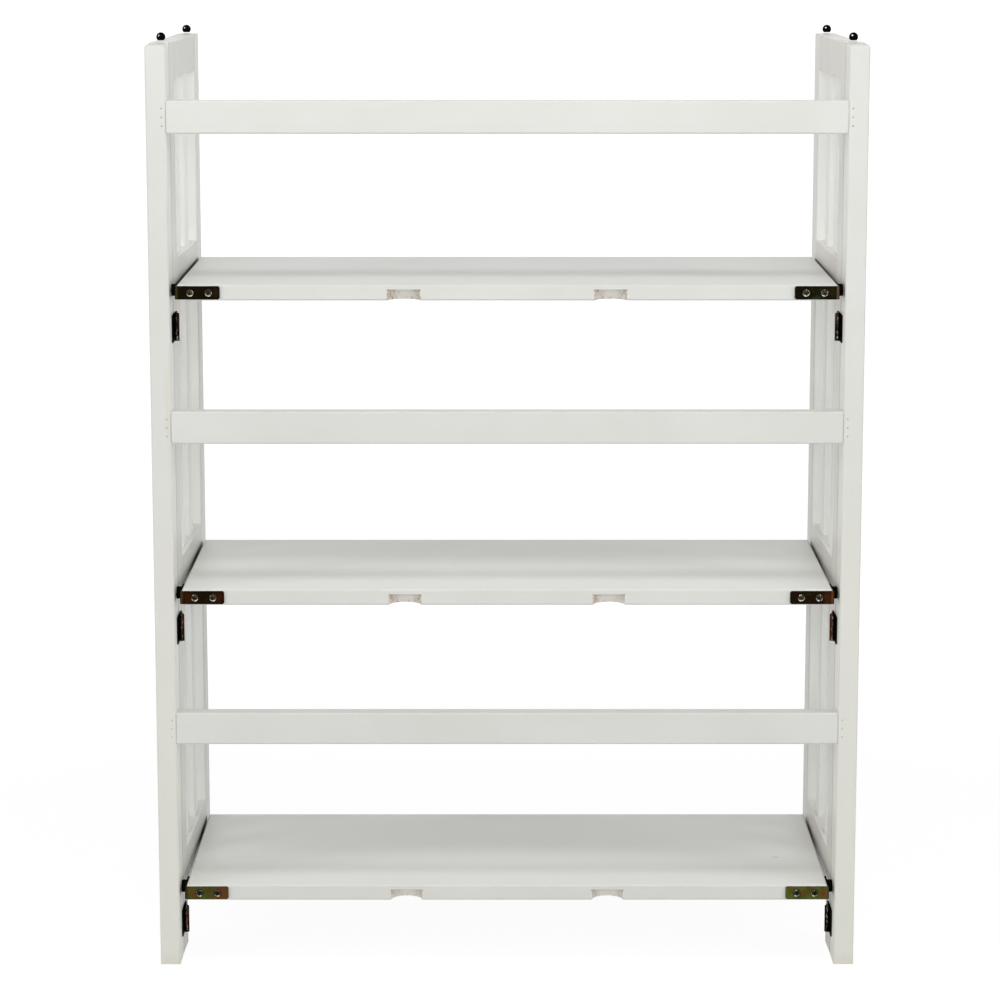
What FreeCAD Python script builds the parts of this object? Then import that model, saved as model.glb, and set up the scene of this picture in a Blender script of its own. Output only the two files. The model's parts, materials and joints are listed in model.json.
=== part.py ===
import FreeCAD
import Part
import Sketcher
import math
import os
import re

# Folding, stacking bookcase of painted wood: a fixed back frame of two posts and three rails,
# two slatted side frames hinged to the posts, and three shelves that flip up about pivots in
# the posts, so that the sides can fold flat behind them. Its screws and nails are left out.
#
# Millimetres, +Z up. The origin lies on the floor, in the middle of the footprint. The back
# frame faces -Y and the open front faces +Y. Handed pieces are drawn for the right side (+X)
# and mirrored to the left.

# Driving dimensions: alias, value and meaning.
SIZES = (
    ("bookcase_width", 700, "over the outer faces of the posts"),
    ("board_thickness", 20, "posts, stiles and side rails"),
    ("edge_bevel", 1.2, "eased edges of every board"),
    ("first_shelf_top", 82, "floor to the top of the bottom shelf"),
    ("shelf_pitch", 304, "one shelf top to the next"),
    ("headroom", 233, "top shelf to the top of the posts"),
    ("post_depth", 38, "front to back"),
    ("post_top_round", 4, "rounded top corners of the posts"),
    ("stile_top_round", 3, "rounded top corner of a side frame's free edge"),
    ("frame_gap", 0.5, "between a post and its side frame"),
    ("side_frame_depth", 253.5, "front to back"),
    ("rear_stile_depth", 38, "front to back"),
    ("front_stile_depth", 34, "front to back"),
    ("top_rail_height", 37, "side frames"),
    ("cross_rail_height", 44, "side frames"),
    ("cross_rail_rise", 19, "cross rail above its shelf top"),
    ("slat_thickness", 12, "across the side frame"),
    ("slat_depth", 20, "front to back"),
    ("slat_seat", 8, "slat end inside its rail"),
    ("slat_slack", 0.1, "round a slat end in its mortise"),
    ("tenon_length", 10, "rail end inside a post or stile"),
    ("tenon_thickness", 8, "rail tenons"),
    ("tenon_shoulder", 5, "step above and below a tenon"),
    ("back_rail_height", 32, "back frame"),
    ("back_rail_thickness", 18, "back frame"),
    ("back_rail_lift", 147, "shelf top to the rail above it"),
    ("shelf_thickness", 15.5, "shelf board"),
    ("shelf_setback", 3, "rear edge in from the rear face"),
    ("shelf_front_gap", 27, "front edge in from the front face"),
    ("shelf_end_gap", 7, "shelf end to a post's inner face"),
    ("frame_play", 2.25, "shelf's front corner to a side frame at rest"),
    ("pivot_drop", 7.5, "pivot below the shelf top"),
    ("fold_clearance", 0.5, "raised shelf to the back rails"),
    ("pivot_radius", 2.5, "shelf pivot pin"),
    ("pivot_reach", 10, "pivot pin inside its post"),
    ("pivot_collar_radius", 6.5, "centre to corner of the hexagonal collar that keeps a shelf off its post"),
    ("running_clearance", 0.05, "round a turning pin, on the radius"),
    ("face_clearance", 0.2, "between faces that slide past each other"),
    ("bracket_plate", 1.8, "bracket sheet thickness"),
    ("bracket_height", 13, "shelf bracket"),
    ("bracket_arm", 44, "along the shelf's rear edge"),
    ("bracket_tail", 13, "side leg beyond the pivot"),
    ("bracket_bend", 2.5, "outer radius of the bend"),
    ("bracket_corner", 1.5, "cut corners of its free ends"),
    ("hand_hole_radius", 15.7, "half-round pockets under a shelf's rear edge"),
    ("hand_hole_height", 10.5, "pocket depth from the underside"),
    ("peg_radius", 9, "shelf rests"),
    ("peg_reach", 16, "rest out of the side frame"),
    ("peg_edge_distance", 6, "rest's centre to the stile's inner edge"),
    ("peg_clearance", 0.3, "shelf underside to its rest"),
    ("hinge_proud", 3, "hinge line inboard of the inner faces"),
    ("hinge_drop", 46, "shelf top to the middle of a hinge"),
    ("hinge_height", 27, "leaf and barrel"),
    ("hinge_barrel_radius", 2.8, "knuckles"),
    ("hinge_pin_radius", 1.5, "hinge pin"),
    ("leaf_thickness", 1.2, "hinge leaf"),
    ("leaf_width", 18, "hinge line to the leaf's edge"),
    ("stack_pin_radius", 4.5, "head of a stacking pin"),
    ("stack_pin_height", 10, "above the side frame"),
    ("stack_pin_bevel", 1.5, "round the top of its head"),
    ("stack_pin_shank_radius", 3, "inside the stile"),
    ("stack_pin_shank_length", 22, "inside the stile"),
    ("stack_pin_slack", 0.1, "round a shank in its stile"),
    ("stack_socket_radius", 5, "in the foot of each stile"),
    ("stack_socket_depth", 14, "in the foot of each stile"),
)

ALIAS_WORDS = re.compile(r"\b(" + "|".join(alias for alias, _, _ in SIZES) + r")\b")

# Shelf levels from the floor up. A level's place in the tuple counts its pitches.
TIERS = ("bottom", "middle", "top")
# The same levels in a side frame: its cross rails, and the slats that stand on them.
LEVELS = ("lower", "middle", "upper")

# Directions of a timber's length: its own Z turned upright, to +X or to +Y.
UPRIGHT = "rotation(vector(0; 0; 1); 0)"
ALONG_X = "rotation(vector(0; 1; 0); 90)"
ALONG_Y = "rotation(vector(1; 0; 0); -90)"

X_DIRECTION = FreeCAD.Vector(1, 0, 0)
Y_DIRECTION = FreeCAD.Vector(0, 1, 0)
Z_DIRECTION = FreeCAD.Vector(0, 0, 1)


def shelf_top(tier):
    """Height of a shelf's top face."""
    return f"(first_shelf_top + {tier} * shelf_pitch)"


# Planes and lengths that several pieces share, as formulas over the driving dimensions.
OVERALL_DEPTH = "(post_depth + frame_gap + side_frame_depth)"
REAR_FACE = f"(-{OVERALL_DEPTH} / 2)"
FRONT_FACE = f"({OVERALL_DEPTH} / 2)"
INNER_FACE = "(bookcase_width / 2 - board_thickness)"
BOARD_MIDDLE = "(bookcase_width / 2 - board_thickness / 2)"
POST_HEIGHT = f"({shelf_top(len(TIERS) - 1)} + headroom)"

HINGE_X = f"({INNER_FACE} - hinge_proud)"
HINGE_Y = f"({REAR_FACE} + post_depth + frame_gap / 2)"
KNUCKLE_LENGTH = "(hinge_height / 3)"
BARREL_ROOM = "(2 * (hinge_barrel_radius + face_clearance))"

SHELF_REAR = f"({REAR_FACE} + shelf_setback)"
SHELF_FRONT = f"({FRONT_FACE} - shelf_front_gap)"
SHELF_END = f"({INNER_FACE} - shelf_end_gap)"
PIVOT_Y = f"({REAR_FACE} + back_rail_thickness + fold_clearance + pivot_drop)"

# A side frame stands turned in about its hinges until only the play is left at the shelves.
TOE_IN = f"(asin((shelf_end_gap - frame_play) / ({SHELF_FRONT} - {HINGE_Y})))"

FRAME_REAR = f"({REAR_FACE} + post_depth + frame_gap)"
REAR_STILE_Y = f"({FRAME_REAR} + rear_stile_depth / 2)"
FRONT_STILE_Y = f"({FRONT_FACE} - front_stile_depth / 2)"
SIDE_RAIL_LENGTH = "(side_frame_depth - rear_stile_depth - front_stile_depth)"
SIDE_RAIL_Y = f"({FRAME_REAR} + rear_stile_depth + {SIDE_RAIL_LENGTH} / 2)"
SLAT_OFFSET = f"((({SIDE_RAIL_LENGTH} - 2 * slat_depth) / 3 + slat_depth) / 2)"
PEG_Y = f"({FRONT_FACE} - front_stile_depth + peg_edge_distance)"

# Folded, a rest lies as far inboard of the hinge line as it stands in front of it in use.
HAND_HOLE_X = f"({HINGE_X} - ({PEG_Y} - {HINGE_Y}))"

doc = FreeCAD.newDocument("FoldingBookcase")
sub_parts = []


# ---------------------------------------------------------------- sheet and drawing helpers

def write_sheet():
    """Put the driving dimensions in the sheet, each with its alias."""
    sheet = doc.addObject("Spreadsheet::Sheet", "Sizes")
    for row, (alias, value, meaning) in enumerate(SIZES, start=1):
        sheet.set(f"A{row}", meaning)
        sheet.set(f"B{row}", str(value))
        sheet.setAlias(f"B{row}", alias)
    doc.recompute()


def drive(thing, target, formula):
    """Bind a property or a constraint to a formula over the sheet's aliases."""
    thing.setExpression(target, ALIAS_WORDS.sub(r"Sizes.\1", formula))


def place(body, x="0", y="0", z="0", turn=UPRIGHT, swings=False):
    """Bind a body's Placement. A body that swings also turns about the right hinge line."""
    if not swings:
        drive(body, "Placement", f"placement(vector({x}; {y}; {z}); {turn})")
        return
    hinge = f"placement(vector({HINGE_X}; {HINGE_Y}; 0); rotation(vector(0; 0; 1); {TOE_IN}))"
    inside = f"placement(vector({x} - {HINGE_X}; {y} - {HINGE_Y}; {z}); {turn})"
    drive(body, "Placement", f"{hinge} * {inside}")


def new_body(name):
    """An empty body, labelled with its sub-part's name."""
    body = doc.addObject("PartDesign::Body", name)
    body.Label = name
    return body


def keep(body):
    """Count a finished object as one of the bookcase's sub-parts."""
    sub_parts.append(body)


def keep_both(right, stem):
    """Keep a right-hand piece together with its mirror image on the left."""
    left = doc.addObject("Part::Mirroring", f"{stem}_left")
    left.Label = f"{stem}_left"
    left.Source = right
    left.Normal = X_DIRECTION
    keep(right)
    keep(left)


def origin_part(body, role):
    """One of the body's own origin planes or axes."""
    return next(part for part in body.Origin.OriginFeatures if part.Role == role)


def new_sketch(body, plane, x="0", y="0", lift="0"):
    """A sketch on an origin plane, moved by x and y in it and by lift along its normal."""
    sketch = body.newObject("Sketcher::SketchObject", f"{body.Name}_sketch")
    sketch.AttachmentSupport = [(origin_part(body, plane), "")]
    sketch.MapMode = "FlatFace"
    for axis, formula in zip("xyz", (x, y, lift)):
        drive(sketch, f"AttachmentOffset.Base.{axis}", formula)
    return sketch


def draw_rectangle(sketch, width, height):
    """A rectangle round the sketch's origin."""
    corners = [FreeCAD.Vector(*xy, 0) for xy in ((-1, -1), (1, -1), (1, 1), (-1, 1))]
    following = corners[1:] + corners[:1]
    sketch.addGeometry([Part.LineSegment(*ends) for ends in zip(corners, following)], False)
    for side in range(4):
        sketch.addConstraint(Sketcher.Constraint("Coincident", side, 2, (side + 1) % 4, 1))
        level = "Horizontal" if side % 2 == 0 else "Vertical"
        sketch.addConstraint(Sketcher.Constraint(level, side))
    sketch.addConstraint(Sketcher.Constraint("Symmetric", 0, 1, 1, 2, -1, 1))
    across = sketch.addConstraint(Sketcher.Constraint("DistanceX", 0, 1, 0, 2, 2.0))
    upward = sketch.addConstraint(Sketcher.Constraint("DistanceY", 1, 1, 1, 2, 2.0))
    drive(sketch, f"Constraints[{across}]", width)
    drive(sketch, f"Constraints[{upward}]", height)


def draw_circle(sketch, radius):
    """A circle round the sketch's origin."""
    number = sketch.addGeometry(Part.Circle(FreeCAD.Vector(), Z_DIRECTION, 1), False)
    sketch.addConstraint(Sketcher.Constraint("Coincident", number, 3, -1, 1))
    size = sketch.addConstraint(Sketcher.Constraint("Radius", number, 1.0))
    drive(sketch, f"Constraints[{size}]", radius)


def draw_outline(sketch, corners):
    """A closed outline of straight lines through corners given as pairs of formulas."""
    count = len(corners)
    start = [FreeCAD.Vector(corner, corner % 2, 0) for corner in range(count)]
    following = start[1:] + start[:1]
    sketch.addGeometry([Part.LineSegment(*ends) for ends in zip(start, following)], False)
    for line, (x, y) in enumerate(corners):
        sketch.addConstraint(Sketcher.Constraint("Coincident", line, 2, (line + 1) % count, 1))
        across = sketch.addConstraint(Sketcher.Constraint("DistanceX", -1, 1, line, 1, 1.0))
        upward = sketch.addConstraint(Sketcher.Constraint("DistanceY", -1, 1, line, 1, 1.0))
        drive(sketch, f"Constraints[{across}]", x)
        drive(sketch, f"Constraints[{upward}]", y)


def pad(body, sketch, length, midplane=False):
    """Extrude a sketch along its normal, or to both sides of its plane."""
    feature = body.newObject("PartDesign::Pad", f"{body.Name}_pad")
    feature.Profile = sketch
    feature.Midplane = midplane
    drive(feature, "Length", length)
    return feature


def pocket(body, sketch, depth, forward=False):
    """Cut a sketch's shape against its normal, or along it when forward."""
    feature = body.newObject("PartDesign::Pocket", f"{body.Name}_pocket")
    feature.Profile = sketch
    feature.Reversed = forward
    drive(feature, "Length", depth)
    return feature


def revolve(body, sketch, axis):
    """Turn a profile once about its sketch's H_Axis or V_Axis."""
    feature = body.newObject("PartDesign::Revolution", f"{body.Name}_revolution")
    feature.Profile = sketch
    feature.ReferenceAxis = (sketch, [axis])
    feature.Angle = 360
    return feature


def round_edges(body, feature, edges, radius):
    """Fillet the named edges of the body's latest feature."""
    fillet = body.newObject("PartDesign::Fillet", f"{body.Name}_fillet")
    fillet.Base = (feature, edges)
    drive(fillet, "Radius", radius)
    return fillet


def bevel_edges(body, feature, edges, size):
    """Chamfer the named edges of the body's latest feature."""
    chamfer = body.newObject("PartDesign::Chamfer", f"{body.Name}_chamfer")
    chamfer.Base = (feature, edges)
    drive(chamfer, "Size", size)
    return chamfer


def repeat(body, features, rows=(), mirror=None):
    """Copy features along rows of (axis, spacing, count), then across a mirror plane.

    Without features, the whole body is copied.
    """
    transform = body.newObject("PartDesign::MultiTransform", f"{body.Name}_pattern")
    steps = []
    for axis, spacing, count in rows:
        row = body.newObject("PartDesign::LinearPattern", f"{body.Name}_row")
        row.Direction = (origin_part(body, axis), [""])
        row.Occurrences = count
        drive(row, "Length", f"{count - 1} * {spacing}")
        steps.append(row)
    if mirror:
        image = body.newObject("PartDesign::Mirrored", f"{body.Name}_mirror")
        image.MirrorPlane = (origin_part(body, mirror), [""])
        steps.append(image)
    transform.Transformations = steps
    if features:
        transform.TransformMode = "Features"
        transform.Originals = features
    else:
        transform.TransformMode = "Whole shape"
    body.Tip = transform


EACH_TIER = ("Z_Axis", "shelf_pitch", len(TIERS))


def edges_along(feature, direction):
    """Names of a feature's straight edges that run along a direction."""
    names = []
    for number, edge in enumerate(feature.Shape.Edges, start=1):
        run = edge.Vertexes[-1].Point - edge.Vertexes[0].Point
        if run.Length > 0 and abs(run.normalize().dot(direction)) > 0.999:
            names.append(f"Edge{number}")
    return names


def edges_near(feature, direction, point):
    """Of the edges along a direction, those that touch a point."""
    spot = Part.Vertex(point)
    return [
        name for name in edges_along(feature, direction)
        if feature.Shape.getElement(name).distToShape(spot)[0] < 0.01
    ]


def edges_at_top(feature, direction):
    """Of the edges along a direction, those at the feature's highest level."""
    top = feature.Shape.BoundBox.ZMax
    return [
        name for name in edges_along(feature, direction)
        if feature.Shape.getElement(name).BoundBox.ZMin > top - 0.01
    ]


# ------------------------------------------------------------------------- wooden members

def timber(name, width, depth, length, standing=False):
    """A board of width by depth with its long edges eased.

    Its length runs along the body's Z: up from zero when standing, or to both sides of it.
    """
    body = new_body(name)
    section = new_sketch(body, "XY_Plane")
    draw_rectangle(section, width, depth)
    board = pad(body, section, length, midplane=not standing)
    doc.recompute()
    bevel_edges(body, board, edges_along(board, Z_DIRECTION), "edge_bevel")
    return body


def add_tenons(body, width, depth, length):
    """Run a smaller section through a board and out of both ends."""
    section = new_sketch(body, "XY_Plane")
    draw_rectangle(section, width, depth)
    pad(body, section, f"{length} + 2 * tenon_length", midplane=True)


def make_post():
    """The right back post with its mortises and pivot bores."""
    body = new_body("back_post_right")
    section = new_sketch(body, "XY_Plane")
    draw_rectangle(section, "board_thickness", "post_depth")
    board = pad(body, section, POST_HEIGHT)
    doc.recompute()
    bevelled = bevel_edges(body, board, edges_along(board, Z_DIRECTION), "edge_bevel")
    doc.recompute()
    round_edges(body, bevelled, edges_at_top(bevelled, Y_DIRECTION), "post_top_round")

    inner_face = "-board_thickness / 2"
    post_y = f"({REAR_FACE} + post_depth / 2)"
    rail_z = "first_shelf_top + back_rail_lift + back_rail_height / 2"

    mortise = new_sketch(body, "YZ_Plane", "(back_rail_thickness - post_depth) / 2", rail_z, inner_face)
    draw_rectangle(mortise, "tenon_thickness", "back_rail_height - 2 * tenon_shoulder")
    mortises = pocket(body, mortise, "tenon_length", forward=True)
    repeat(body, [mortises], [EACH_TIER])

    bore = new_sketch(
        body, "YZ_Plane", f"{PIVOT_Y} - {post_y}", "first_shelf_top - pivot_drop", inner_face)
    draw_circle(bore, "pivot_radius + running_clearance")
    bores = pocket(body, bore, "pivot_reach + fold_clearance", forward=True)
    repeat(body, [bores], [EACH_TIER])

    place(body, BOARD_MIDDLE, post_y)
    keep_both(body, "back_post")


def make_back_rail(tier):
    """A rail across the back, above a shelf, tenoned into both posts."""
    length = f"(2 * {INNER_FACE})"
    body = timber(f"back_rail_{TIERS[tier]}", "back_rail_height", "back_rail_thickness", length)
    add_tenons(body, "back_rail_height - 2 * tenon_shoulder", "tenon_thickness", length)
    place(
        body,
        y=f"{REAR_FACE} + back_rail_thickness / 2",
        z=f"{shelf_top(tier)} + back_rail_lift + back_rail_height / 2",
        turn=ALONG_X)
    keep(body)


# ---------------------------------------------------------------------------- side frames

def make_stile(stem, depth, y, rails_in_front):
    """A right-hand upright of a side frame, mortised for its four rails.

    The rails enter its front edge when rails_in_front, otherwise its rear edge.
    """
    body = timber(f"{stem}_right", "board_thickness", depth, POST_HEIGHT, standing=True)
    if not rails_in_front:
        doc.recompute()
        across = edges_at_top(body.Tip, X_DIRECTION)
        free_corner = max(across, key=lambda name: body.Tip.Shape.getElement(name).CenterOfMass.y)
        round_edges(body, body.Tip, [free_corner], "stile_top_round")
    edge = f"-{depth} / 2" if rails_in_front else f"{depth} / 2"
    cross_rail_z = "first_shelf_top + cross_rail_rise - cross_rail_height / 2"

    cross = new_sketch(body, "XZ_Plane", "0", cross_rail_z, edge)
    draw_rectangle(cross, "tenon_thickness", "cross_rail_height - 2 * tenon_shoulder")
    mortises = pocket(body, cross, "tenon_length", forward=rails_in_front)
    repeat(body, [mortises], [EACH_TIER])

    upper = new_sketch(body, "XZ_Plane", "0", f"{POST_HEIGHT} - top_rail_height / 2", edge)
    draw_rectangle(upper, "tenon_thickness", "top_rail_height - 2 * tenon_shoulder")
    pocket(body, upper, "tenon_length", forward=rails_in_front)

    pin_hole = new_sketch(body, "XY_Plane", lift=POST_HEIGHT)
    draw_circle(pin_hole, "stack_pin_shank_radius + stack_pin_slack")
    pocket(body, pin_hole, "stack_pin_shank_length")

    socket = new_sketch(body, "XY_Plane")
    draw_circle(socket, "stack_socket_radius")
    pocket(body, socket, "stack_socket_depth", forward=True)

    place(body, BOARD_MIDDLE, y, swings=True)
    keep_both(body, stem)


def peg_height(tier):
    """Height of a shelf rest's axis."""
    return f"({shelf_top(tier)} - shelf_thickness - peg_clearance - peg_radius)"


def cut_slat_mortises(body, rail_height, above):
    """Two mortises in a side rail's upper or lower edge. Its local +Y points down."""
    lift = f"{rail_height} / 2" if above else f"-{rail_height} / 2"
    seat = new_sketch(body, "XZ_Plane", "0", SLAT_OFFSET, lift)
    draw_rectangle(seat, "slat_thickness + 2 * slat_slack", "slat_depth + 2 * slat_slack")
    cut = pocket(body, seat, "slat_seat + slat_slack", forward=not above)
    repeat(body, [cut], mirror="XY_Plane")


def make_side_rail(stem, height, z, slats_above, slats_below):
    """A rail between the stiles of the right side frame."""
    body = timber(f"{stem}_right", "board_thickness", height, SIDE_RAIL_LENGTH)
    add_tenons(body, "tenon_thickness", f"{height} - 2 * tenon_shoulder", SIDE_RAIL_LENGTH)
    if slats_above:
        cut_slat_mortises(body, height, above=True)
    if slats_below:
        cut_slat_mortises(body, height, above=False)
    place(body, BOARD_MIDDLE, SIDE_RAIL_Y, z, turn=ALONG_Y, swings=True)
    keep_both(body, stem)


def make_side_rails():
    """The top rail, and a cross rail at each shelf."""
    make_side_rail(
        "top_rail", "top_rail_height", f"{POST_HEIGHT} - top_rail_height / 2",
        slats_above=False, slats_below=True)
    for tier, level in enumerate(LEVELS):
        make_side_rail(
            f"cross_rail_{level}", "cross_rail_height",
            f"{shelf_top(tier)} + cross_rail_rise - cross_rail_height / 2",
            slats_above=True, slats_below=tier > 0)


def make_slats():
    """Two slats between each pair of rails, set back from both faces of the frame."""
    for tier, level in enumerate(LEVELS):
        foot = f"({shelf_top(tier)} + cross_rail_rise)"
        if tier + 1 < len(LEVELS):
            head = f"({shelf_top(tier + 1)} + cross_rail_rise - cross_rail_height)"
        else:
            head = f"({POST_HEIGHT} - top_rail_height)"
        for place_name, side in (("rear", "-"), ("front", "+")):
            stem = f"slat_{level}_{place_name}"
            body = timber(
                f"{stem}_right", "slat_thickness", "slat_depth", f"({head} - {foot} + 2 * slat_seat)")
            place(
                body, BOARD_MIDDLE, f"{SIDE_RAIL_Y} {side} {SLAT_OFFSET}", f"({head} + {foot}) / 2",
                swings=True)
            keep_both(body, stem)


def make_stack_pins():
    """Steel pins in the tops of both stiles, which enter the sockets of the next unit."""
    body = new_body("stacking_pins_right")
    profile = new_sketch(body, "XZ_Plane")
    draw_outline(profile, (
        ("0", "-stack_pin_shank_length"),
        ("stack_pin_shank_radius", "-stack_pin_shank_length"),
        ("stack_pin_shank_radius", "0"),
        ("stack_pin_radius", "0"),
        ("stack_pin_radius", "stack_pin_height - stack_pin_bevel"),
        ("stack_pin_radius - stack_pin_bevel", "stack_pin_height"),
        ("0", "stack_pin_height"),
    ))
    revolve(body, profile, "V_Axis")
    doc.recompute()
    repeat(body, None, [("Y_Axis", f"({FRONT_STILE_Y} - {REAR_STILE_Y})", 2)])
    place(body, BOARD_MIDDLE, REAR_STILE_Y, POST_HEIGHT, swings=True)
    keep_both(body, "stacking_pins")


def make_shelf_rests():
    """Pegs on the front stile's inner face, one under each shelf's front corner."""
    body = new_body("shelf_rests_right")
    ring = new_sketch(body, "YZ_Plane", PEG_Y, peg_height(0), f"{INNER_FACE} - peg_reach")
    draw_circle(ring, "peg_radius")
    pad(body, ring, "peg_reach")
    doc.recompute()
    repeat(body, None, [EACH_TIER])
    place(body, swings=True)
    keep_both(body, "shelf_rests")


# --------------------------------------------------------------------------------- hinges

def make_hinge_leaves(name, points_back):
    """Three right-hand leaves of steel: a plate on the inner face, rolled round the pin.

    The leaf on the post points back and carries the outer knuckles, with the pin fast in them.
    The one on the side frame points forward, and its middle knuckle turns on the pin.
    """
    body = new_body(name)
    foot = "first_shelf_top - hinge_drop - hinge_height / 2"
    middle = "first_shelf_top - hinge_drop"

    plate_y = f"{HINGE_Y} {'-' if points_back else '+'} leaf_width / 2"
    plate = new_sketch(body, "XY_Plane", f"{INNER_FACE} - leaf_thickness / 2", plate_y, foot)
    draw_rectangle(plate, "leaf_thickness", "leaf_width")
    pad(body, plate, "hinge_height")

    barrel = new_sketch(body, "XY_Plane", HINGE_X, HINGE_Y, foot)
    draw_circle(barrel, "hinge_barrel_radius")
    if not points_back:
        draw_circle(barrel, "hinge_pin_radius + running_clearance")
    pad(body, barrel, "hinge_height")

    if points_back:
        rooms = [(middle, f"{KNUCKLE_LENGTH} + 2 * face_clearance")]
    else:
        rooms = [(f"{middle} {sign} {KNUCKLE_LENGTH}", KNUCKLE_LENGTH) for sign in "-+"]
    for centre, height in rooms:
        room = new_sketch(body, "YZ_Plane", HINGE_Y, centre, INNER_FACE)
        draw_rectangle(room, BARREL_ROOM, height)
        pocket(body, room, "hinge_proud + hinge_barrel_radius + face_clearance")

    if points_back:
        pin = new_sketch(body, "XY_Plane", HINGE_X, HINGE_Y, foot)
        draw_circle(pin, "hinge_pin_radius")
        pad(body, pin, "hinge_height")
    doc.recompute()
    return body


def make_hinges():
    """Leaves and pins of the six butt hinges."""
    post_leaves = make_hinge_leaves("post_hinge_leaves", points_back=True)
    repeat(post_leaves, None, [EACH_TIER], mirror="YZ_Plane")
    keep(post_leaves)

    frame_leaves = make_hinge_leaves("frame_hinge_leaves_right", points_back=False)
    repeat(frame_leaves, None, [EACH_TIER])
    place(frame_leaves, swings=True)
    keep_both(frame_leaves, "frame_hinge_leaves")


# -------------------------------------------------------------------------------- shelves

def make_shelf(tier):
    """A shelf board with two half-round pockets under its rear edge."""
    body = new_body(f"shelf_{TIERS[tier]}")
    length = f"(2 * {SHELF_END})"
    depth = f"({SHELF_FRONT} - {SHELF_REAR})"
    section = new_sketch(body, "XY_Plane")
    draw_rectangle(section, length, depth)
    board = pad(body, section, "shelf_thickness")
    doc.recompute()
    bevel_edges(body, board, [], "edge_bevel").UseAllEdges = True

    hand_hole = new_sketch(body, "XY_Plane", HAND_HOLE_X, f"-{depth} / 2")
    draw_circle(hand_hole, "hand_hole_radius")
    hand_holes = pocket(body, hand_hole, "hand_hole_height", forward=True)
    repeat(body, [hand_holes], mirror="YZ_Plane")

    place(body, y=f"({SHELF_FRONT} + {SHELF_REAR}) / 2", z=f"{shelf_top(tier)} - shelf_thickness")
    keep(body)


def make_brackets(tier):
    """Steel angles round a shelf's rear corners. A collared pivot stud is fast in each side leg."""
    body = new_body(f"shelf_brackets_{TIERS[tier]}")
    corner_x = f"({SHELF_END} + bracket_plate)"
    corner_y = f"({SHELF_REAR} - bracket_plate)"
    leg = f"({PIVOT_Y} - {corner_y} + bracket_tail)"
    foot = f"{shelf_top(tier)} - (shelf_thickness + bracket_height) / 2"

    angle = new_sketch(body, "XY_Plane", corner_x, corner_y, foot)
    draw_outline(angle, (
        ("0", "0"),
        ("0", leg),
        ("-bracket_plate", leg),
        ("-bracket_plate", "bracket_plate"),
        ("-bracket_arm", "bracket_plate"),
        ("-bracket_arm", "0"),
    ))
    strip = pad(body, angle, "bracket_height")
    doc.recompute()
    box = strip.Shape.BoundBox
    bend = edges_near(strip, Z_DIRECTION, FreeCAD.Vector(box.XMax, box.YMin, box.ZMin))
    bent = round_edges(body, strip, bend, "bracket_bend")
    doc.recompute()
    free_corners = [
        name
        for level in (box.ZMin, box.ZMax)
        for name in edges_near(bent, Y_DIRECTION, FreeCAD.Vector(box.XMin, box.YMin, level))
    ]
    bevel_edges(body, bent, free_corners, "bracket_corner")

    pivot_z = f"{shelf_top(tier)} - pivot_drop"
    collar = new_sketch(body, "YZ_Plane", PIVOT_Y, pivot_z, corner_x)
    draw_outline(collar, [
        (f"{math.cos(turn):.6f} * pivot_collar_radius", f"{math.sin(turn):.6f} * pivot_collar_radius")
        for turn in (step * math.pi / 3 for step in range(6))
    ])
    pad(body, collar, "shelf_end_gap - bracket_plate - face_clearance")

    stud = new_sketch(body, "YZ_Plane", PIVOT_Y, pivot_z, corner_x)
    draw_circle(stud, "pivot_radius")
    pad(body, stud, "shelf_end_gap - bracket_plate + pivot_reach")
    doc.recompute()
    repeat(body, None, mirror="YZ_Plane")
    keep(body)


# ------------------------------------------------------------------------ build and export

def build():
    """Make every sub-part."""
    write_sheet()
    make_post()
    for tier in range(len(TIERS)):
        make_back_rail(tier)
    make_stile("rear_stile", "rear_stile_depth", REAR_STILE_Y, rails_in_front=True)
    make_stile("front_stile", "front_stile_depth", FRONT_STILE_Y, rails_in_front=False)
    make_side_rails()
    make_slats()
    make_stack_pins()
    make_shelf_rests()
    make_hinges()
    for tier in range(len(TIERS)):
        make_shelf(tier)
        make_brackets(tier)
    doc.recompute()


def check():
    """Stop if any object failed or any sub-part has no valid shape."""
    failed = [thing.Name for thing in doc.Objects if {"Invalid", "Error"} & set(thing.State)]
    if failed:
        raise RuntimeError(f"objects that failed to build: {failed}")
    for body in sub_parts:
        if body.Shape.isNull() or not body.Shape.isValid() or not body.Shape.Solids:
            raise RuntimeError(f"no valid solid in {body.Label}")


def export():
    """Write each sub-part to its own STEP file."""
    os.makedirs("parts", exist_ok=True)
    for body in sub_parts:
        body.Shape.exportStep(f"parts/{body.Label}.step")


build()
check()
export()
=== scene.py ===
"""A folding, stacking bookcase of painted wood, finished and lit for its studio picture.

The wooden members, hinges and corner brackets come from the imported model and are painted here.
Screws, ball-topped stacking pins and the hinge pins' tips are modelled here. Lengths are in metres,
+Z is up, and the back frame faces -Y.
"""

import json
import logging
import math
from dataclasses import dataclass
from enum import Enum
from functools import cached_property
from typing import Callable, Mapping, Optional, Sequence, Union

import bpy
from mathutils import Matrix, Vector


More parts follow.
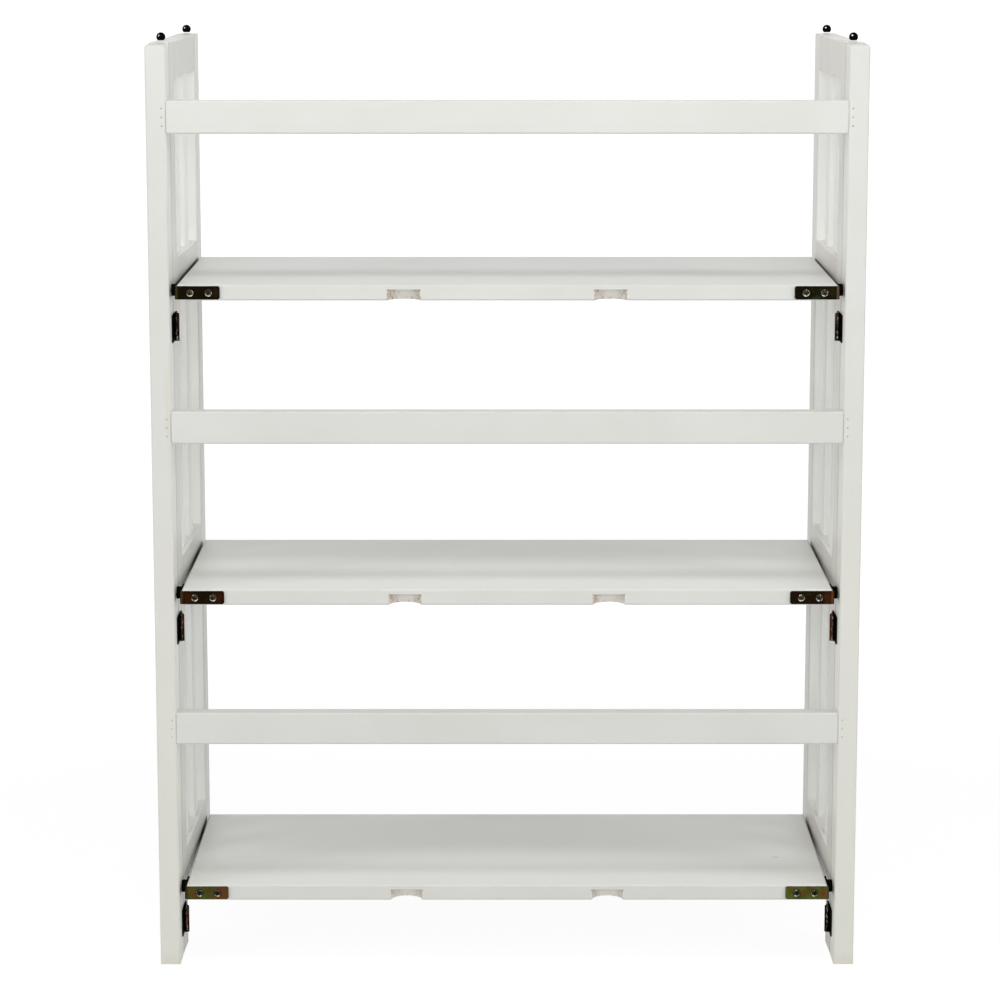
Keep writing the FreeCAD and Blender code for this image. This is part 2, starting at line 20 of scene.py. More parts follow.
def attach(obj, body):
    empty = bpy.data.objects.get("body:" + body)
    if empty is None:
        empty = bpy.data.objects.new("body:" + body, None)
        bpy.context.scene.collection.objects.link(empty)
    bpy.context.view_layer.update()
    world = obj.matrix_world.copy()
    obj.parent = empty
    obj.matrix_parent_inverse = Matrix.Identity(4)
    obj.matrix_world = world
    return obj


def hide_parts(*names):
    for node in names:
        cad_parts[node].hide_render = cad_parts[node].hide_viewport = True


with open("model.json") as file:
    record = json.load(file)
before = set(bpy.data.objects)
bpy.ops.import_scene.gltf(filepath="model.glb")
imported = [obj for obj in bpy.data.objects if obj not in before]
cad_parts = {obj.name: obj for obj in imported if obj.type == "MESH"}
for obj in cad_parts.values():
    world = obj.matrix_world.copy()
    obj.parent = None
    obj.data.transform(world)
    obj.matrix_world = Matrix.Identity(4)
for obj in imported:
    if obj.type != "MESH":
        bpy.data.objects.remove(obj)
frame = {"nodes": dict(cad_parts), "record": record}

LOG = logging.getLogger("bookcase")

Colour = tuple[float, float, float]
Number = Union[float, int, "Signal"]
Settings = Mapping[str, object]
Inputs = Mapping[Union[str, int], object]
Socket = bpy.types.NodeSocket
Material = bpy.types.Material
Piece = bpy.types.Object

MM = 0.001
HEIGHT = 923 * MM
SHELF_PITCH = 304 * MM
SHELF_THICKNESS = 15.5 * MM
SHELF_END = 323.6 * MM
HINGE_X, HINGE_Y = 327.0 * MM, -107.75 * MM
TOE_IN = math.radians(1.20034)
BRACKET_SCREW_X = (309.8 * MM, 291.8 * MM)
BRACKET_FACE_Y = -144.8 * MM
WHITE = (1.0, 1.0, 1.0, 1.0)


class Named(Enum):
    """A choice whose name is part of the names of nodes and bodies."""

    @property
    def word(self) -> str:
        """The name as nodes and bodies have it."""
        return self.name.lower()


class Tier(Named):
    """The three shelves, by the height of their top faces."""

    BOTTOM = 82 * MM
    MIDDLE = 386 * MM
    TOP = 690 * MM


class Side(Named):
    """The two sides, by the sign of their x."""

    LEFT = -1
    RIGHT = 1


# -------------------- material bench

def _maths(operation: str, swapped: bool = False) -> Callable[["Signal", Number], "Signal"]:
    """Makes one of Signal's methods for two numbers.

    Args:
        operation: The Math node's operation.
        swapped: Whether the other number comes first.

    Returns:
        The method.
    """
    def method(self: "Signal", other: Number) -> "Signal":
        """Runs both numbers through a Math node."""
        return self._result(operation, *((other, self) if swapped else (self, other)))
    return method


class Signal:
    """A number that varies over a surface, with Python's own arithmetic."""

    def __init__(self, bench: "Bench", socket: Socket) -> None:
        """Wraps a node output, which gives the number, and keeps its bench."""
        self.bench = bench
        self.socket = socket

    def _result(self, operation: str, *values: Number) -> "Signal":
        """Runs values through one Math node, in the order of its inputs."""
        settings = {"operation": operation}
        return self.bench.signal("ShaderNodeMath", settings, dict(enumerate(values)))

    __add__ = __radd__ = _maths("ADD")
    __sub__ = _maths("SUBTRACT")
    __rsub__ = _maths("SUBTRACT", swapped=True)
    __mul__ = __rmul__ = _maths("MULTIPLY")
    __pow__ = _maths("POWER")
    at_most = _maths("MINIMUM")
    at_least = _maths("MAXIMUM")

    def __abs__(self) -> "Signal":
        """The size of the number."""
        return self._result("ABSOLUTE", self)

    def folded(self, period: float) -> "Signal":
        """The distance to the nearest whole multiple of a period."""
        return self._result("PINGPONG", self, period / 2)

    def wrapped(self, period: float) -> "Signal":
        """The signed distance to the nearest whole multiple of a period."""
        return self._result("WRAP", self, period / 2, -period / 2)

    def rise(self, low: float, high: float) -> "Signal":
        """A smooth step from 0 at low to 1 at high. Low may lie above high, for a fall."""
        first, last, start, end = (low, high, 0.0, 1.0) if low < high else (high, low, 1.0, 0.0)
        return self.bench.signal(
            "ShaderNodeMapRange", {"interpolation_type": "SMOOTHSTEP"},
            {"Value": self, "From Min": first, "From Max": last, "To Min": start, "To Max": end})


def distance(along: Signal, over: Signal) -> Signal:
    """How far a point lies from a centre, from its two offsets."""
    return (along * along + over * over) ** 0.5


def on_side(x: Signal, side: Side, blur: float = 10 * MM) -> Signal:
    """1 on one side of the bookcase and 0 on the other, blurred at the middle."""
    return x.rise(-side.value * blur, side.value * blur)


class Bench:
    """Lays out the nodes of one material, or of the world."""

    def __init__(
        self, owner: Union[str, bpy.types.World], colour: Union[Colour, Socket] = WHITE[:3],
    ) -> None:
        """Starts with no nodes.

        Args:
            owner: A new material's name, or the world.
            colour: The colour under all the layers that are laid on later.
        """
        self.owner = bpy.data.materials.new(owner) if isinstance(owner, str) else owner
        self.owner.use_nodes = True
        self.tree = self.owner.node_tree
        self.tree.nodes.clear()
        self.colour = colour

    @cached_property
    def place(self) -> Socket:
        """The surface point, in the object's own coordinates."""
        return self.node("ShaderNodeTexCoord").outputs["Object"]

    def node(
        self, kind: str, settings: Optional[Settings] = None, values: Optional[Inputs] = None,
    ) -> bpy.types.Node:
        """Adds any node.

        Args:
            kind: The node's type.
            settings: Its own settings, made before its inputs.
            values: Its inputs by name or number, each a value, a socket or a Signal.

        Returns:
            The node.
        """
        made = self.tree.nodes.new(kind)
        for name, setting in (settings or {}).items():
            setattr(made, name, setting)
        for key, value in (values or {}).items():
            if isinstance(value, Signal):
                value = value.socket
            if isinstance(value, Socket):
                self.tree.links.new(value, made.inputs[key])
            else:
                made.inputs[key].default_value = value
        return made

    def signal(
        self, kind: str, settings: Optional[Settings] = None, values: Optional[Inputs] = None,
        output: Union[str, int] = 0,
    ) -> Signal:
        """Adds a node, as the method above, and wraps the output of this name or number."""
        return Signal(self, self.node(kind, settings, values).outputs[output])

    def axes(self) -> tuple[Signal, Signal, Signal]:
        """The surface point's x, y and z in metres."""
        split = self.node("ShaderNodeSeparateXYZ", values={"Vector": self.place})
        return tuple(Signal(self, split.outputs[axis]) for axis in "XYZ")

    def noise(
        self, scale: float, detail: float = 2.0, roughness: float = 0.5,
        stretch: Sequence[float] = (), shift: Sequence[float] = (0, 0, 0), distortion: float = 0.0,
    ) -> Signal:
        """Soft noise from about 0 to 1.

        Args:
            scale: Cells per metre.
            detail: Finer layers on top of the first.
            roughness: Weight of the finer layers.
            stretch: A scale along each axis for where it is read, or nothing for none.
            shift: A shift that goes with the stretch.
            distortion: How far the cells are stirred.

        Returns:
            The noise as a Signal.
        """
        place = self.place
        if stretch:
            values = {"Vector": place, "Scale": tuple(stretch), "Location": tuple(shift)}
            place = self.node("ShaderNodeMapping", values=values).outputs["Vector"]
        return self.signal("ShaderNodeTexNoise", {"noise_dimensions": "3D"}, {
            "Vector": place, "Scale": scale, "Detail": detail,
            "Roughness": roughness, "Distortion": distortion})

    def blend(
        self, amount: Number, under: Union[Colour, Socket], over: Union[Colour, Socket],
    ) -> Socket:
        """Mixes two colours. The amount, from 0 to 1, is how much of the second shows."""
        under, over = ((*c, 1.0) if isinstance(c, tuple) else c for c in (under, over))
        return self.node(
            "ShaderNodeMix", {"data_type": "RGBA"}, {0: amount, 6: under, 7: over}).outputs[2]

    def lay(self, amount: Number, over: Union[Colour, Socket]) -> None:
        """Lays a colour over the finish's colour so far, as thickly as the amount says."""
        self.colour = self.blend(amount, self.colour, over)

    def facing(self, way: Sequence[float]) -> Signal:
        """How squarely the surface faces a way: 1 when it faces it, 0 when it is side-on."""
        normal = self.node("ShaderNodeNewGeometry").outputs["Normal"]
        return self.signal(
            "ShaderNodeVectorMath", {"operation": "DOT_PRODUCT"},
            {0: normal, 1: Vector(way).normalized()}, output="Value")

    def seen(self) -> Signal:
        """1 for what the camera sees, straight on or reflected, and 0 for other light."""
        rays = self.node("ShaderNodeLightPath").outputs
        seen = Signal(self, rays["Is Camera Ray"])
        for ray in ("Is Glossy Ray", "Is Transmission Ray"):
            seen = seen.at_least(Signal(self, rays[ray]))
        return seen

    def creases(self, reach: float) -> Signal:
        """How deep in a crease the surface lies, from 0 in the open to 1."""
        return 1 - self.signal(
            "ShaderNodeAmbientOcclusion", {"samples": 6}, {"Distance": reach}, output="AO")

    def softened(self, radius: float) -> Socket:
        """The surface's normal with its edges rounded to a radius."""
        return self.node("ShaderNodeBevel", {"samples": 4}, {"Radius": radius}).outputs["Normal"]

    def bump(
        self, height: Signal, depth: float, strength: float = 1.0, normal: Optional[Socket] = None,
    ) -> Socket:
        """Relief from a height.

        Args:
            height: The relief, from 0 to 1.
            depth: The height of 1, in metres.
            strength: How strongly it shows.
            normal: The normal under it.

        Returns:
            The bumped normal's socket.
        """
        values = {"Height": height, "Distance": depth, "Strength": strength}
        if normal is not None:
            values["Normal"] = normal
        return self.node("ShaderNodeBump", values=values).outputs["Normal"]

    def finish(self, **sockets: object) -> Material:
        """Feeds the colour so far and other inputs to the surface shader, and the output.

        Args:
            sockets: The shader's inputs, with underscores for the spaces in their names.

        Returns:
            The finished material.
        """
        values = {name.replace("_", " "): value for name, value in sockets.items()}
        values["Base Color"] = self.colour
        return self.show(self.node("ShaderNodeBsdfPrincipled", values=values))

    def show(self, shader: bpy.types.Node, output: str = "Material") -> Material:
        """Feeds a shader to the output of the material or World, and returns that."""
        self.node(f"ShaderNodeOutput{output}", values={"Surface": shader.outputs[0]})
        return self.owner


# -------------------- finishes

class Grain(Enum):
    """The way a board's grain and its brush strokes run, as the squeeze along each axis."""

    ALONG_X = (0.035, 1.0, 1.0)
    ALONG_Y = (1.0, 0.035, 1.0)
    UPRIGHT = (1.0, 1.0, 0.035)


@dataclass(frozen=True)
class SatinPaint:
    """Off-white satin paint, brushed along a board whose grain shows faintly through it."""

    name: str
    grain: Grain
    colour: Colour = (0.800, 0.800, 0.762)
    shade: Colour = (0.762, 0.764, 0.722)
    # The colour of dirt, scuffs and painted shade.
    grime: Colour = (0.36, 0.34, 0.27)
    cream: Colour = (0.70, 0.63, 0.43)
    grime_reach: float = 7 * MM
    grime_strength: float = 0.30
    edge_radius: float = 0.7 * MM
    gloss_low: float = 0.34
    gloss_high: float = 0.46

    def make(self) -> Material:
        """Builds the material."""
        bench = Bench(self.name, self.colour)
        fibres = bench.noise(420, detail=4, roughness=0.62, stretch=self.grain.value)
        strokes = bench.noise(90, detail=3, stretch=self.grain.value, shift=(3, 5, 7))
        clouds = bench.noise(7.5, detail=3, roughness=0.55)
        peel = bench.noise(750, detail=1)

        bench.lay(clouds.rise(0.35, 0.70) * 0.8, self.shade)
        bench.lay(strokes.rise(0.52, 0.70) * 0.22, self.shade)
        bench.lay(fibres.rise(0.60, 0.78) * 0.10, self.cream)
        # Dirt and painted shade in the creases: the paint darkens where ambient occlusion finds a
        # crease.
        crease = bench.creases(self.grime_reach)
        dirt = crease.rise(0.25, 0.95) * (0.55 + clouds * 0.6) * self.grime_strength
        bench.lay(dirt, self.grime)
        dent = self.marks(bench, fibres)

        relief = fibres * 0.45 + strokes * 0.40 + peel * 0.15 - dent
        normal = bench.bump(relief, 0.06 * MM, 0.55, bench.softened(self.edge_radius))
        roughness = self.gloss_low + clouds * (self.gloss_high - self.gloss_low) + dirt * 0.6
        return bench.finish(Roughness=roughness, Normal=normal, Specular_IOR_Level=0.42)

    def marks(self, bench: Bench, fibres: Signal) -> Number:
        """Adds what only some boards show. A plain board shows nothing more.

        Args:
            bench: The bench in use, with the paint's colour so far.
            fibres: The noise of the grain.

        Returns:
            How far the surface is dented, from 0 to 1.
        """
        return 0.0


@dataclass(frozen=True)
class PostPaint(SatinPaint):
    """The posts' paint, with stopped nail holes, cream streaks and scuffed feet."""

    nail_x: float = 334.5 * MM
    nail_pitch: float = 8.5 * MM
    nail_radius: float = 0.75 * MM
    joint_height: float = 245 * MM
    rear_face: float = -146 * MM
    front_face: float = -108 * MM
    inner_face: float = 330 * MM
    yellowed: Colour = (0.850, 0.850, 0.750)
    nail_hole: Colour = (0.19, 0.18, 0.16)
    worn_foot: Colour = (0.66, 0.60, 0.46)
    worn_top: Colour = (0.58, 0.47, 0.33)

    def marks(self, bench: Bench, fibres: Signal) -> Number:
        """Adds the marks of a post. See SatinPaint.marks."""
        x, y, z = bench.axes()
        wander = bench.noise(160, detail=1)
        across = abs(abs(x) - self.nail_x) + (wander - 0.5) * (0.5 * MM)
        from_joint = (z - self.joint_height).folded(2 * SHELF_PITCH)
        from_joint = from_joint.at_most(SHELF_PITCH - from_joint)
        from_joint = from_joint.at_most(abs(z - self.joint_height - 2 * SHELF_PITCH))
        from_nail = from_joint.at_most(abs(from_joint - self.nail_pitch))
        away = distance(across, from_nail)
        behind = y.rise(self.rear_face + 0.8 * MM, self.rear_face + 0.3 * MM)
        hole = away.rise(self.nail_radius * 1.5, self.nail_radius * 0.6) * behind
        halo = away.rise(self.nail_radius * 3.2, self.nail_radius * 1.2) * behind
        bench.lay(halo * 0.10, self.cream)
        bench.lay(hole * 0.66, self.nail_hole)

        streak = bench.noise(55, detail=2, stretch=(1, 1, 0.05), shift=(2, 0, 1))
        patch = bench.noise(9, detail=2, stretch=(1, 1, 0.6), shift=(0, 4, 0))
        streaks = streak.rise(0.58, 0.74) * patch.rise(0.48, 0.62) * 0.32
        bench.lay(streaks, self.cream)
        bench.lay(z.rise(0.80, 0.05) * 0.55, self.yellowed)
        foot = z.rise(17 * MM, 2 * MM) * (0.25 + patch * 0.5)
        bench.lay(foot * 0.55, self.worn_foot)
        top = z.rise(HEIGHT - 2.2 * MM, HEIGHT - 0.4 * MM) * (0.3 + fibres * 0.8)
        bench.lay(top * 0.40, self.worn_top)
        # Painted shadow: the post's inner face darkens towards the gap at the hinge.
        inner = abs(x).rise(self.inner_face + 0.9 * MM, self.inner_face + 0.3 * MM)
        gap = y.rise(self.front_face - 7 * MM, self.front_face - 0.5 * MM) * inner
        bench.lay(gap * 0.34, self.grime)
        return hole * 2.0


@dataclass(frozen=True)
class FramePaint(SatinPaint):
    """The side frames' paint, worn at the feet and stile tops, shaded inside and black beside the
    shelves' ends as painted shade.

    Beside a shelf's end, the black reaches down to where the main camera's line of sight over the
    shelf meets the side frame. The sight slope is how far that line falls per metre of the gap, for
    each metre that the camera stands above the shelf. A darker band near the top has a side, a
    place along y and a reach.
    """

    # Painted light: the side frames are painted lighter than the posts and back rails.
    colour: Colour = (0.955, 0.955, 0.920)
    shade: Colour = (0.925, 0.927, 0.885)
    grime_strength: float = 0.06
    # The colours of the painted shade on the inner faces, left and right.
    handled_left: Colour = (0.620, 0.628, 0.590)
    handled_right: Colour = (0.690, 0.655, 0.590)
    wear: Colour = (0.60, 0.51, 0.38)
    gap_dark: Colour = (0.030, 0.026, 0.018)
    inner_face: float = 329.9 * MM
    shelf_front: float = 119.0 * MM
    eye_height: float = 1.048
    sight_slope: float = 3.17
    brushed: Colour = (0.52, 0.53, 0.49)
    smudge: Colour = (0.52, 0.51, 0.46)
    joint_y: float = 111.6 * MM
    # The colour of the painted shadow lines in the gaps.
    seam: Colour = (0.23, 0.23, 0.20)
    smudges: tuple[tuple[int, float, float], ...] = ((-1, 106 * MM, 6 * MM), (1, 29 * MM, 5 * MM))

    def marks(self, bench: Bench, fibres: Signal) -> Number:
        """Adds the marks of a side frame. See SatinPaint.marks."""
        x, y, z = bench.axes()
        patch = bench.noise(60, detail=2)
        top = z.rise(HEIGHT - 1.6 * MM, HEIGHT - 0.3 * MM) * patch.rise(0.40, 0.66)
        bench.lay(top * 0.45, self.wear)
        foot = z.rise(14 * MM, 2 * MM) * (0.25 + patch * 0.4)
        bench.lay(foot * 0.5, self.wear)
        brush = bench.noise(120, detail=3, stretch=(1, 1, 0.04), shift=(1, 8, 3))
        bench.lay(brush.rise(0.50, 0.72) * 0.07, self.brushed)

        inward = abs(x) + (y - HINGE_Y) * TOE_IN
        inner = inward.rise(self.inner_face + 0.9 * MM, self.inner_face + 0.4 * MM)
        # Painted shade: the inner faces are darker, greenish on the left and pinkish on the right,
        # less so at the front stile.
        right = on_side(x, Side.RIGHT, 20 * MM)
        inner_shade = bench.blend(right, self.handled_left, self.handled_right)
        rearward = y.rise(116 * MM, 102 * MM) * 0.55 + 0.45
        bench.lay(inner * rearward * (0.56 + patch * 0.20), inner_shade)
        # Painted shadow lines: one by the hinge gap, and one on the left where the top rail meets
        # the front stile.
        seam = y.rise(HINGE_Y + 2.6 * MM, HINGE_Y + 0.9 * MM) * inner
        bench.lay(seam * 0.42, self.seam)
        rail_joint_shadow = abs(y - self.joint_y).rise(1.0 * MM, 0.4 * MM)
        rail_joint_shadow = rail_joint_shadow * z.rise(HEIGHT - 50 * MM, HEIGHT - 44 * MM)
        rail_joint_shadow = rail_joint_shadow * on_side(x, Side.LEFT) * inner
        bench.lay(rail_joint_shadow * 0.55, self.seam)
        # Darker bands on the inner faces near the top, at the places listed.
        for side, place, reach in self.smudges:
            own = x.rise(0, side * 10 * MM) * z.rise(HEIGHT - 66 * MM, HEIGHT - 60 * MM)
            near = abs(y - place).rise(reach, reach * 0.3) * own * inner
            bench.lay(near * 0.22, self.smudge)
        self._darken_beside_shelves(bench, inner)
        return 0.0

    def _darken_beside_shelves(self, bench: Bench, inner: Signal) -> None:
        """Paints a black shadow in a strip beside each shelf's end, lower down where the gap is
        wide.

        Args:
            bench: The bench in use.
            inner: Where the inner face is.
        """
        x, y, z = bench.axes()
        half = SHELF_THICKNESS / 2
        depth = half - (z - Tier.BOTTOM.value + half).wrapped(SHELF_PITCH)
        gap = self.inner_face - SHELF_END - (y - HINGE_Y) * TOE_IN
        left = on_side(x, Side.LEFT)
        width = left * (0.6 * MM) + 1.2 * MM
        start = (gap - width).at_least(0.0) * (self.eye_height - z) * self.sight_slope
        strip = (depth - start).rise(-0.5 * MM, 0.7 * MM) * depth.rise(2 * half, 2 * half - 1 * MM)
        strip = strip * y.rise(self.shelf_front - 0.5 * MM, self.shelf_front - 4 * MM)
        heavy = left * 0.22 + 0.72
        # Painted shadow, near black, in the strip beside the shelf's end.
        bench.lay(strip * inner * heavy, self.gap_dark)


@dataclass(frozen=True)
class ShelfPaint(SatinPaint):
    """A shelf's paint, thin and dirty in the half-round pockets under its rear edge.

    The scuff is a worn spot's x, y and size on the upper face. It lies off the shelf for none.
    """

    tier: Tier = Tier.TOP
    pocket_x: float = 101.25 * MM
    pocket_radius: float = 15.7 * MM
    rear_edge: float = -143 * MM
    bare: Colour = (0.42, 0.29, 0.17)
    fresh: Colour = (0.97, 0.95, 0.89)
    lip_dirt: Colour = (0.16, 0.12, 0.08)
    chip: Colour = (0.45, 0.34, 0.22)
    # The colours of dust and painted shade at the ends, and of the painted shadow on the end faces.
    dust: Colour = (0.50, 0.49, 0.43)
    end_dirt: Colour = (0.05, 0.045, 0.035)
    # Painted light: the colour laid over the top face, lighter than the paint, and darker on the
    # top shelf.
    face: Colour = (0.960, 0.960, 0.930)
    face_share: float = 0.8
    soiled: float = 1.0
    scuff: tuple[float, float, float] = (9.0, 9.0, 0.01)

    def marks(self, bench: Bench, fibres: Signal) -> Number:
        """Adds the marks of a shelf. See SatinPaint.marks."""
        x, y, z = bench.axes()
        top = self.tier.value
        on_face = z.rise(top - 0.6 * MM, top - 0.2 * MM)
        # Painted light: the top face takes a colour of its own.
        bench.lay(on_face * self.face_share, self.face)
        ragged = bench.noise(330, detail=3, roughness=0.6)
        smear = bench.noise(95, detail=2)
        side = abs(abs(x) - self.pocket_x)
        deep = y - self.rear_edge
        radius = distance(side, deep)
        inside = radius.rise(self.pocket_radius + 1.4 * MM, self.pocket_radius + 0.5 * MM)
        low = z.rise(top - 4.2 * MM, top - 4.9 * MM)
        wall = inside * low
        towards_ends = side.rise(5 * MM, 13.5 * MM)
        # The pocket wall: pale paint, lighter than the rest of the shelf as painted light.
        bench.lay(wall * 0.95, self.fresh)
        left_heavy = (x - self.pocket_x).rise(20 * MM, -20 * MM) * 0.35 + 0.65
        crumbs = ragged.rise(0.44, 0.62)
        bare = towards_ends * (0.22 + crumbs * 0.55) + smear.rise(0.52, 0.70) * 0.18
        bare = wall * bare * left_heavy
        bench.lay((bare * self.soiled).at_most(0.92), self.bare)
        # Darker along the top of the pocket wall, just under its roof.
        lip = wall * z.rise(top - 6.6 * MM, top - 5.2 * MM)
        bench.lay(lip * (0.24 + ragged * 0.3), self.lip_dirt)

        rim = radius.rise(self.pocket_radius + 3.2 * MM, self.pocket_radius + 0.4 * MM)
        chips = rim * z.rise(top - 12 * MM, top - 15 * MM) * ragged.rise(0.50, 0.62)
        bench.lay(chips * 0.55 * self.soiled, self.chip)

        # Dust and painted shade towards the shelf's ends, and a near-black painted shadow on its
        # end faces.
        end_dust_and_shade = abs(x).rise(306 * MM, 322 * MM) * (0.04 + smear * 0.08)
        bench.lay(end_dust_and_shade, self.dust)
        end_face = abs(x).rise(SHELF_END - 0.6 * MM, SHELF_END - 0.2 * MM)
        bench.lay(end_face * 0.7, self.end_dirt)
        sx, sy, size = self.scuff
        spot = distance(x - sx, (y - sy) * 2.2) + (ragged - 0.5) * size
        bench.lay(spot.rise(size, size * 0.35) * on_face * 0.5, self.grime)
        return bare * 1.4


@dataclass(frozen=True)
class Bloom:
    """A soft patch of rust on the bracket plates.

    The place is given along x and as a height over the plates' middle. Its edge wanders.
    """

    x: float
    over: float
    reach: float
    strength: float = 1.0


@dataclass(frozen=True)
class Passivate:
    """Dark zinc passivate on pressed steel, which shifts between olive, green and rust brown."""

    name: str
    tier: Tier
    dark: Colour
    green: Colour
    rust: Colour
    green_share: float
    blooms: tuple[Bloom, ...] = ()
    # The colours of the worn bend, right and left, which also stand for a painted highlight.
    rubbed: Colour = (0.125, 0.088, 0.050)
    rubbed_left: Colour = (0.085, 0.050, 0.024)
    black: Colour = (0.0035, 0.0030, 0.0022)
    right_share: float = 0.5
    seed: float = 0.0
    bend_x: float = 322.0 * MM

    def make(self) -> Material:
        """Builds the material."""
        bench = Bench(self.name, self.dark)
        x, y, z = bench.axes()
        over = z - (self.tier.value - SHELF_THICKNESS / 2)
        own = {"roughness": 0.6, "stretch": (1, 1, 1), "shift": (self.seed, self.seed * 2, 0)}
        cloud = bench.noise(95, detail=4, distortion=0.4, **own)
        stir = bench.noise(210, detail=3, **own)
        fine = bench.noise(520, detail=3, roughness=0.65)
        grit = bench.noise(1400, detail=2)
        low = 0.66 - 0.34 * self.green_share
        leaning = on_side(x, Side.RIGHT, 20 * MM) * (2 * self.right_share) + (1 - self.right_share)
        bench.lay(cloud.rise(low, low + 0.24) * leaning.at_most(1.0), self.green)
        for bloom in self.blooms:
            along, up = x - bloom.x, (over - bloom.over) * 0.8
            away = distance(along, up) + (stir - 0.5) * (bloom.reach * 1.1)
            near = away.rise(bloom.reach * 1.35, bloom.reach * 0.2)
            bench.lay(near * bloom.strength, self.rust)
        bench.lay(fine.rise(0.50, 0.72) * 0.45, self.dark)
        bench.lay(grit.rise(0.56, 0.74) * 0.35, self.black)

        outer = abs(x)
        at_rear = y.rise(BRACKET_FACE_Y + 3.2 * MM, BRACKET_FACE_Y + 1.8 * MM)
        bend = outer.rise(self.bend_x - 0.6 * MM, self.bend_x + 0.2 * MM) * at_rear
        # The bend is worn lighter, and its lightness is also a painted highlight, less on the left.
        worn = bench.blend(on_side(x, Side.RIGHT, 20 * MM), self.rubbed_left, self.rubbed)
        bench.lay(bend * (0.50 + fine * 0.7), worn)
        edge = abs(over).rise(SHELF_THICKNESS / 2 - 1.5 * MM, SHELF_THICKNESS / 2 - 0.3 * MM)
        bench.lay(edge * 0.85, self.black)
        # Black behind the plate's face, and black in the creases by ambient occlusion as painted
        # shade.
        inside = y.rise(BRACKET_FACE_Y + 2.2 * MM, BRACKET_FACE_Y + 3.4 * MM)
        crease = bench.creases(3 * MM).rise(0.15, 0.8)
        bench.lay((crease * 0.6 + inside).at_most(1.0), self.black)
        normal = bench.bump(cloud * 0.3 + grit * 0.7, 0.02 * MM, 0.6, bench.softened(0.35 * MM))
        return bench.finish(
            Metallic=0.92, Roughness=0.28 + cloud * 0.20 + grit * 0.06,
            Normal=normal, Specular_IOR_Level=0.1, Specular_Tint=(0.1, 0.1, 0.1, 1.0))


@dataclass(frozen=True)
class HingeSteel:
    """Near-black hinge steel. Its knuckles are worn red brown and down to the bare steel, partly as
    painted highlights.
    """

    name: str = "hinge_steel"
    dark: Colour = (0.0040, 0.0034, 0.0026)
    brown: Colour = (0.085, 0.026, 0.012)
    olive: Colour = (0.030, 0.032, 0.015)
    steel: Colour = (0.46, 0.42, 0.36)

    def make(self) -> Material:
        """Builds the material."""
        bench = Bench(self.name, self.dark)
        x, _, z = bench.axes()
        rub = bench.noise(260, detail=3, roughness=0.6, stretch=(1, 1, 0.30))
        cloud = bench.noise(70, detail=2)
        pits = bench.noise(1100, detail=2)
        specks = bench.noise(650, detail=3, roughness=0.7, stretch=(1, 1, 0.45), shift=(4, 0, 2))
        outer = abs(x)
        leaf = outer.rise(HINGE_X + 0.9 * MM, HINGE_X + 1.6 * MM)
        inward = outer.rise(HINGE_X + 0.6 * MM, HINGE_X - 1.0 * MM)
        crown = outer.rise(HINGE_X + 0.9 * MM, HINGE_X + 0.1 * MM)
        crown = crown * outer.rise(HINGE_X - 1.7 * MM, HINGE_X - 0.9 * MM)
        bench.lay(cloud.rise(0.46, 0.60) * 0.8, self.olive)
        lower = z.rise(560 * MM, 420 * MM) * 0.6 + 0.4
        # Red brown on the knuckles' inward side, stronger lower down, and steel flecks on their
        # crown: wear and painted highlights.
        bench.lay(rub.rise(0.40, 0.60) * (0.25 + inward * 0.6) * lower, self.brown)
        bench.lay(specks.rise(0.54, 0.64) * crown * 0.85, self.steel)
        bench.lay(leaf * 0.85, self.dark)
        normal = bench.bump(rub * 0.5 + pits * 0.5, 0.03 * MM, 0.6, bench.softened(0.3 * MM))
        return bench.finish(
            Metallic=0.95, Roughness=0.30 + pits * 0.20, Normal=normal,
            Specular_IOR_Level=0.05, Specular_Tint=(0.02, 0.02, 0.02, 1.0))


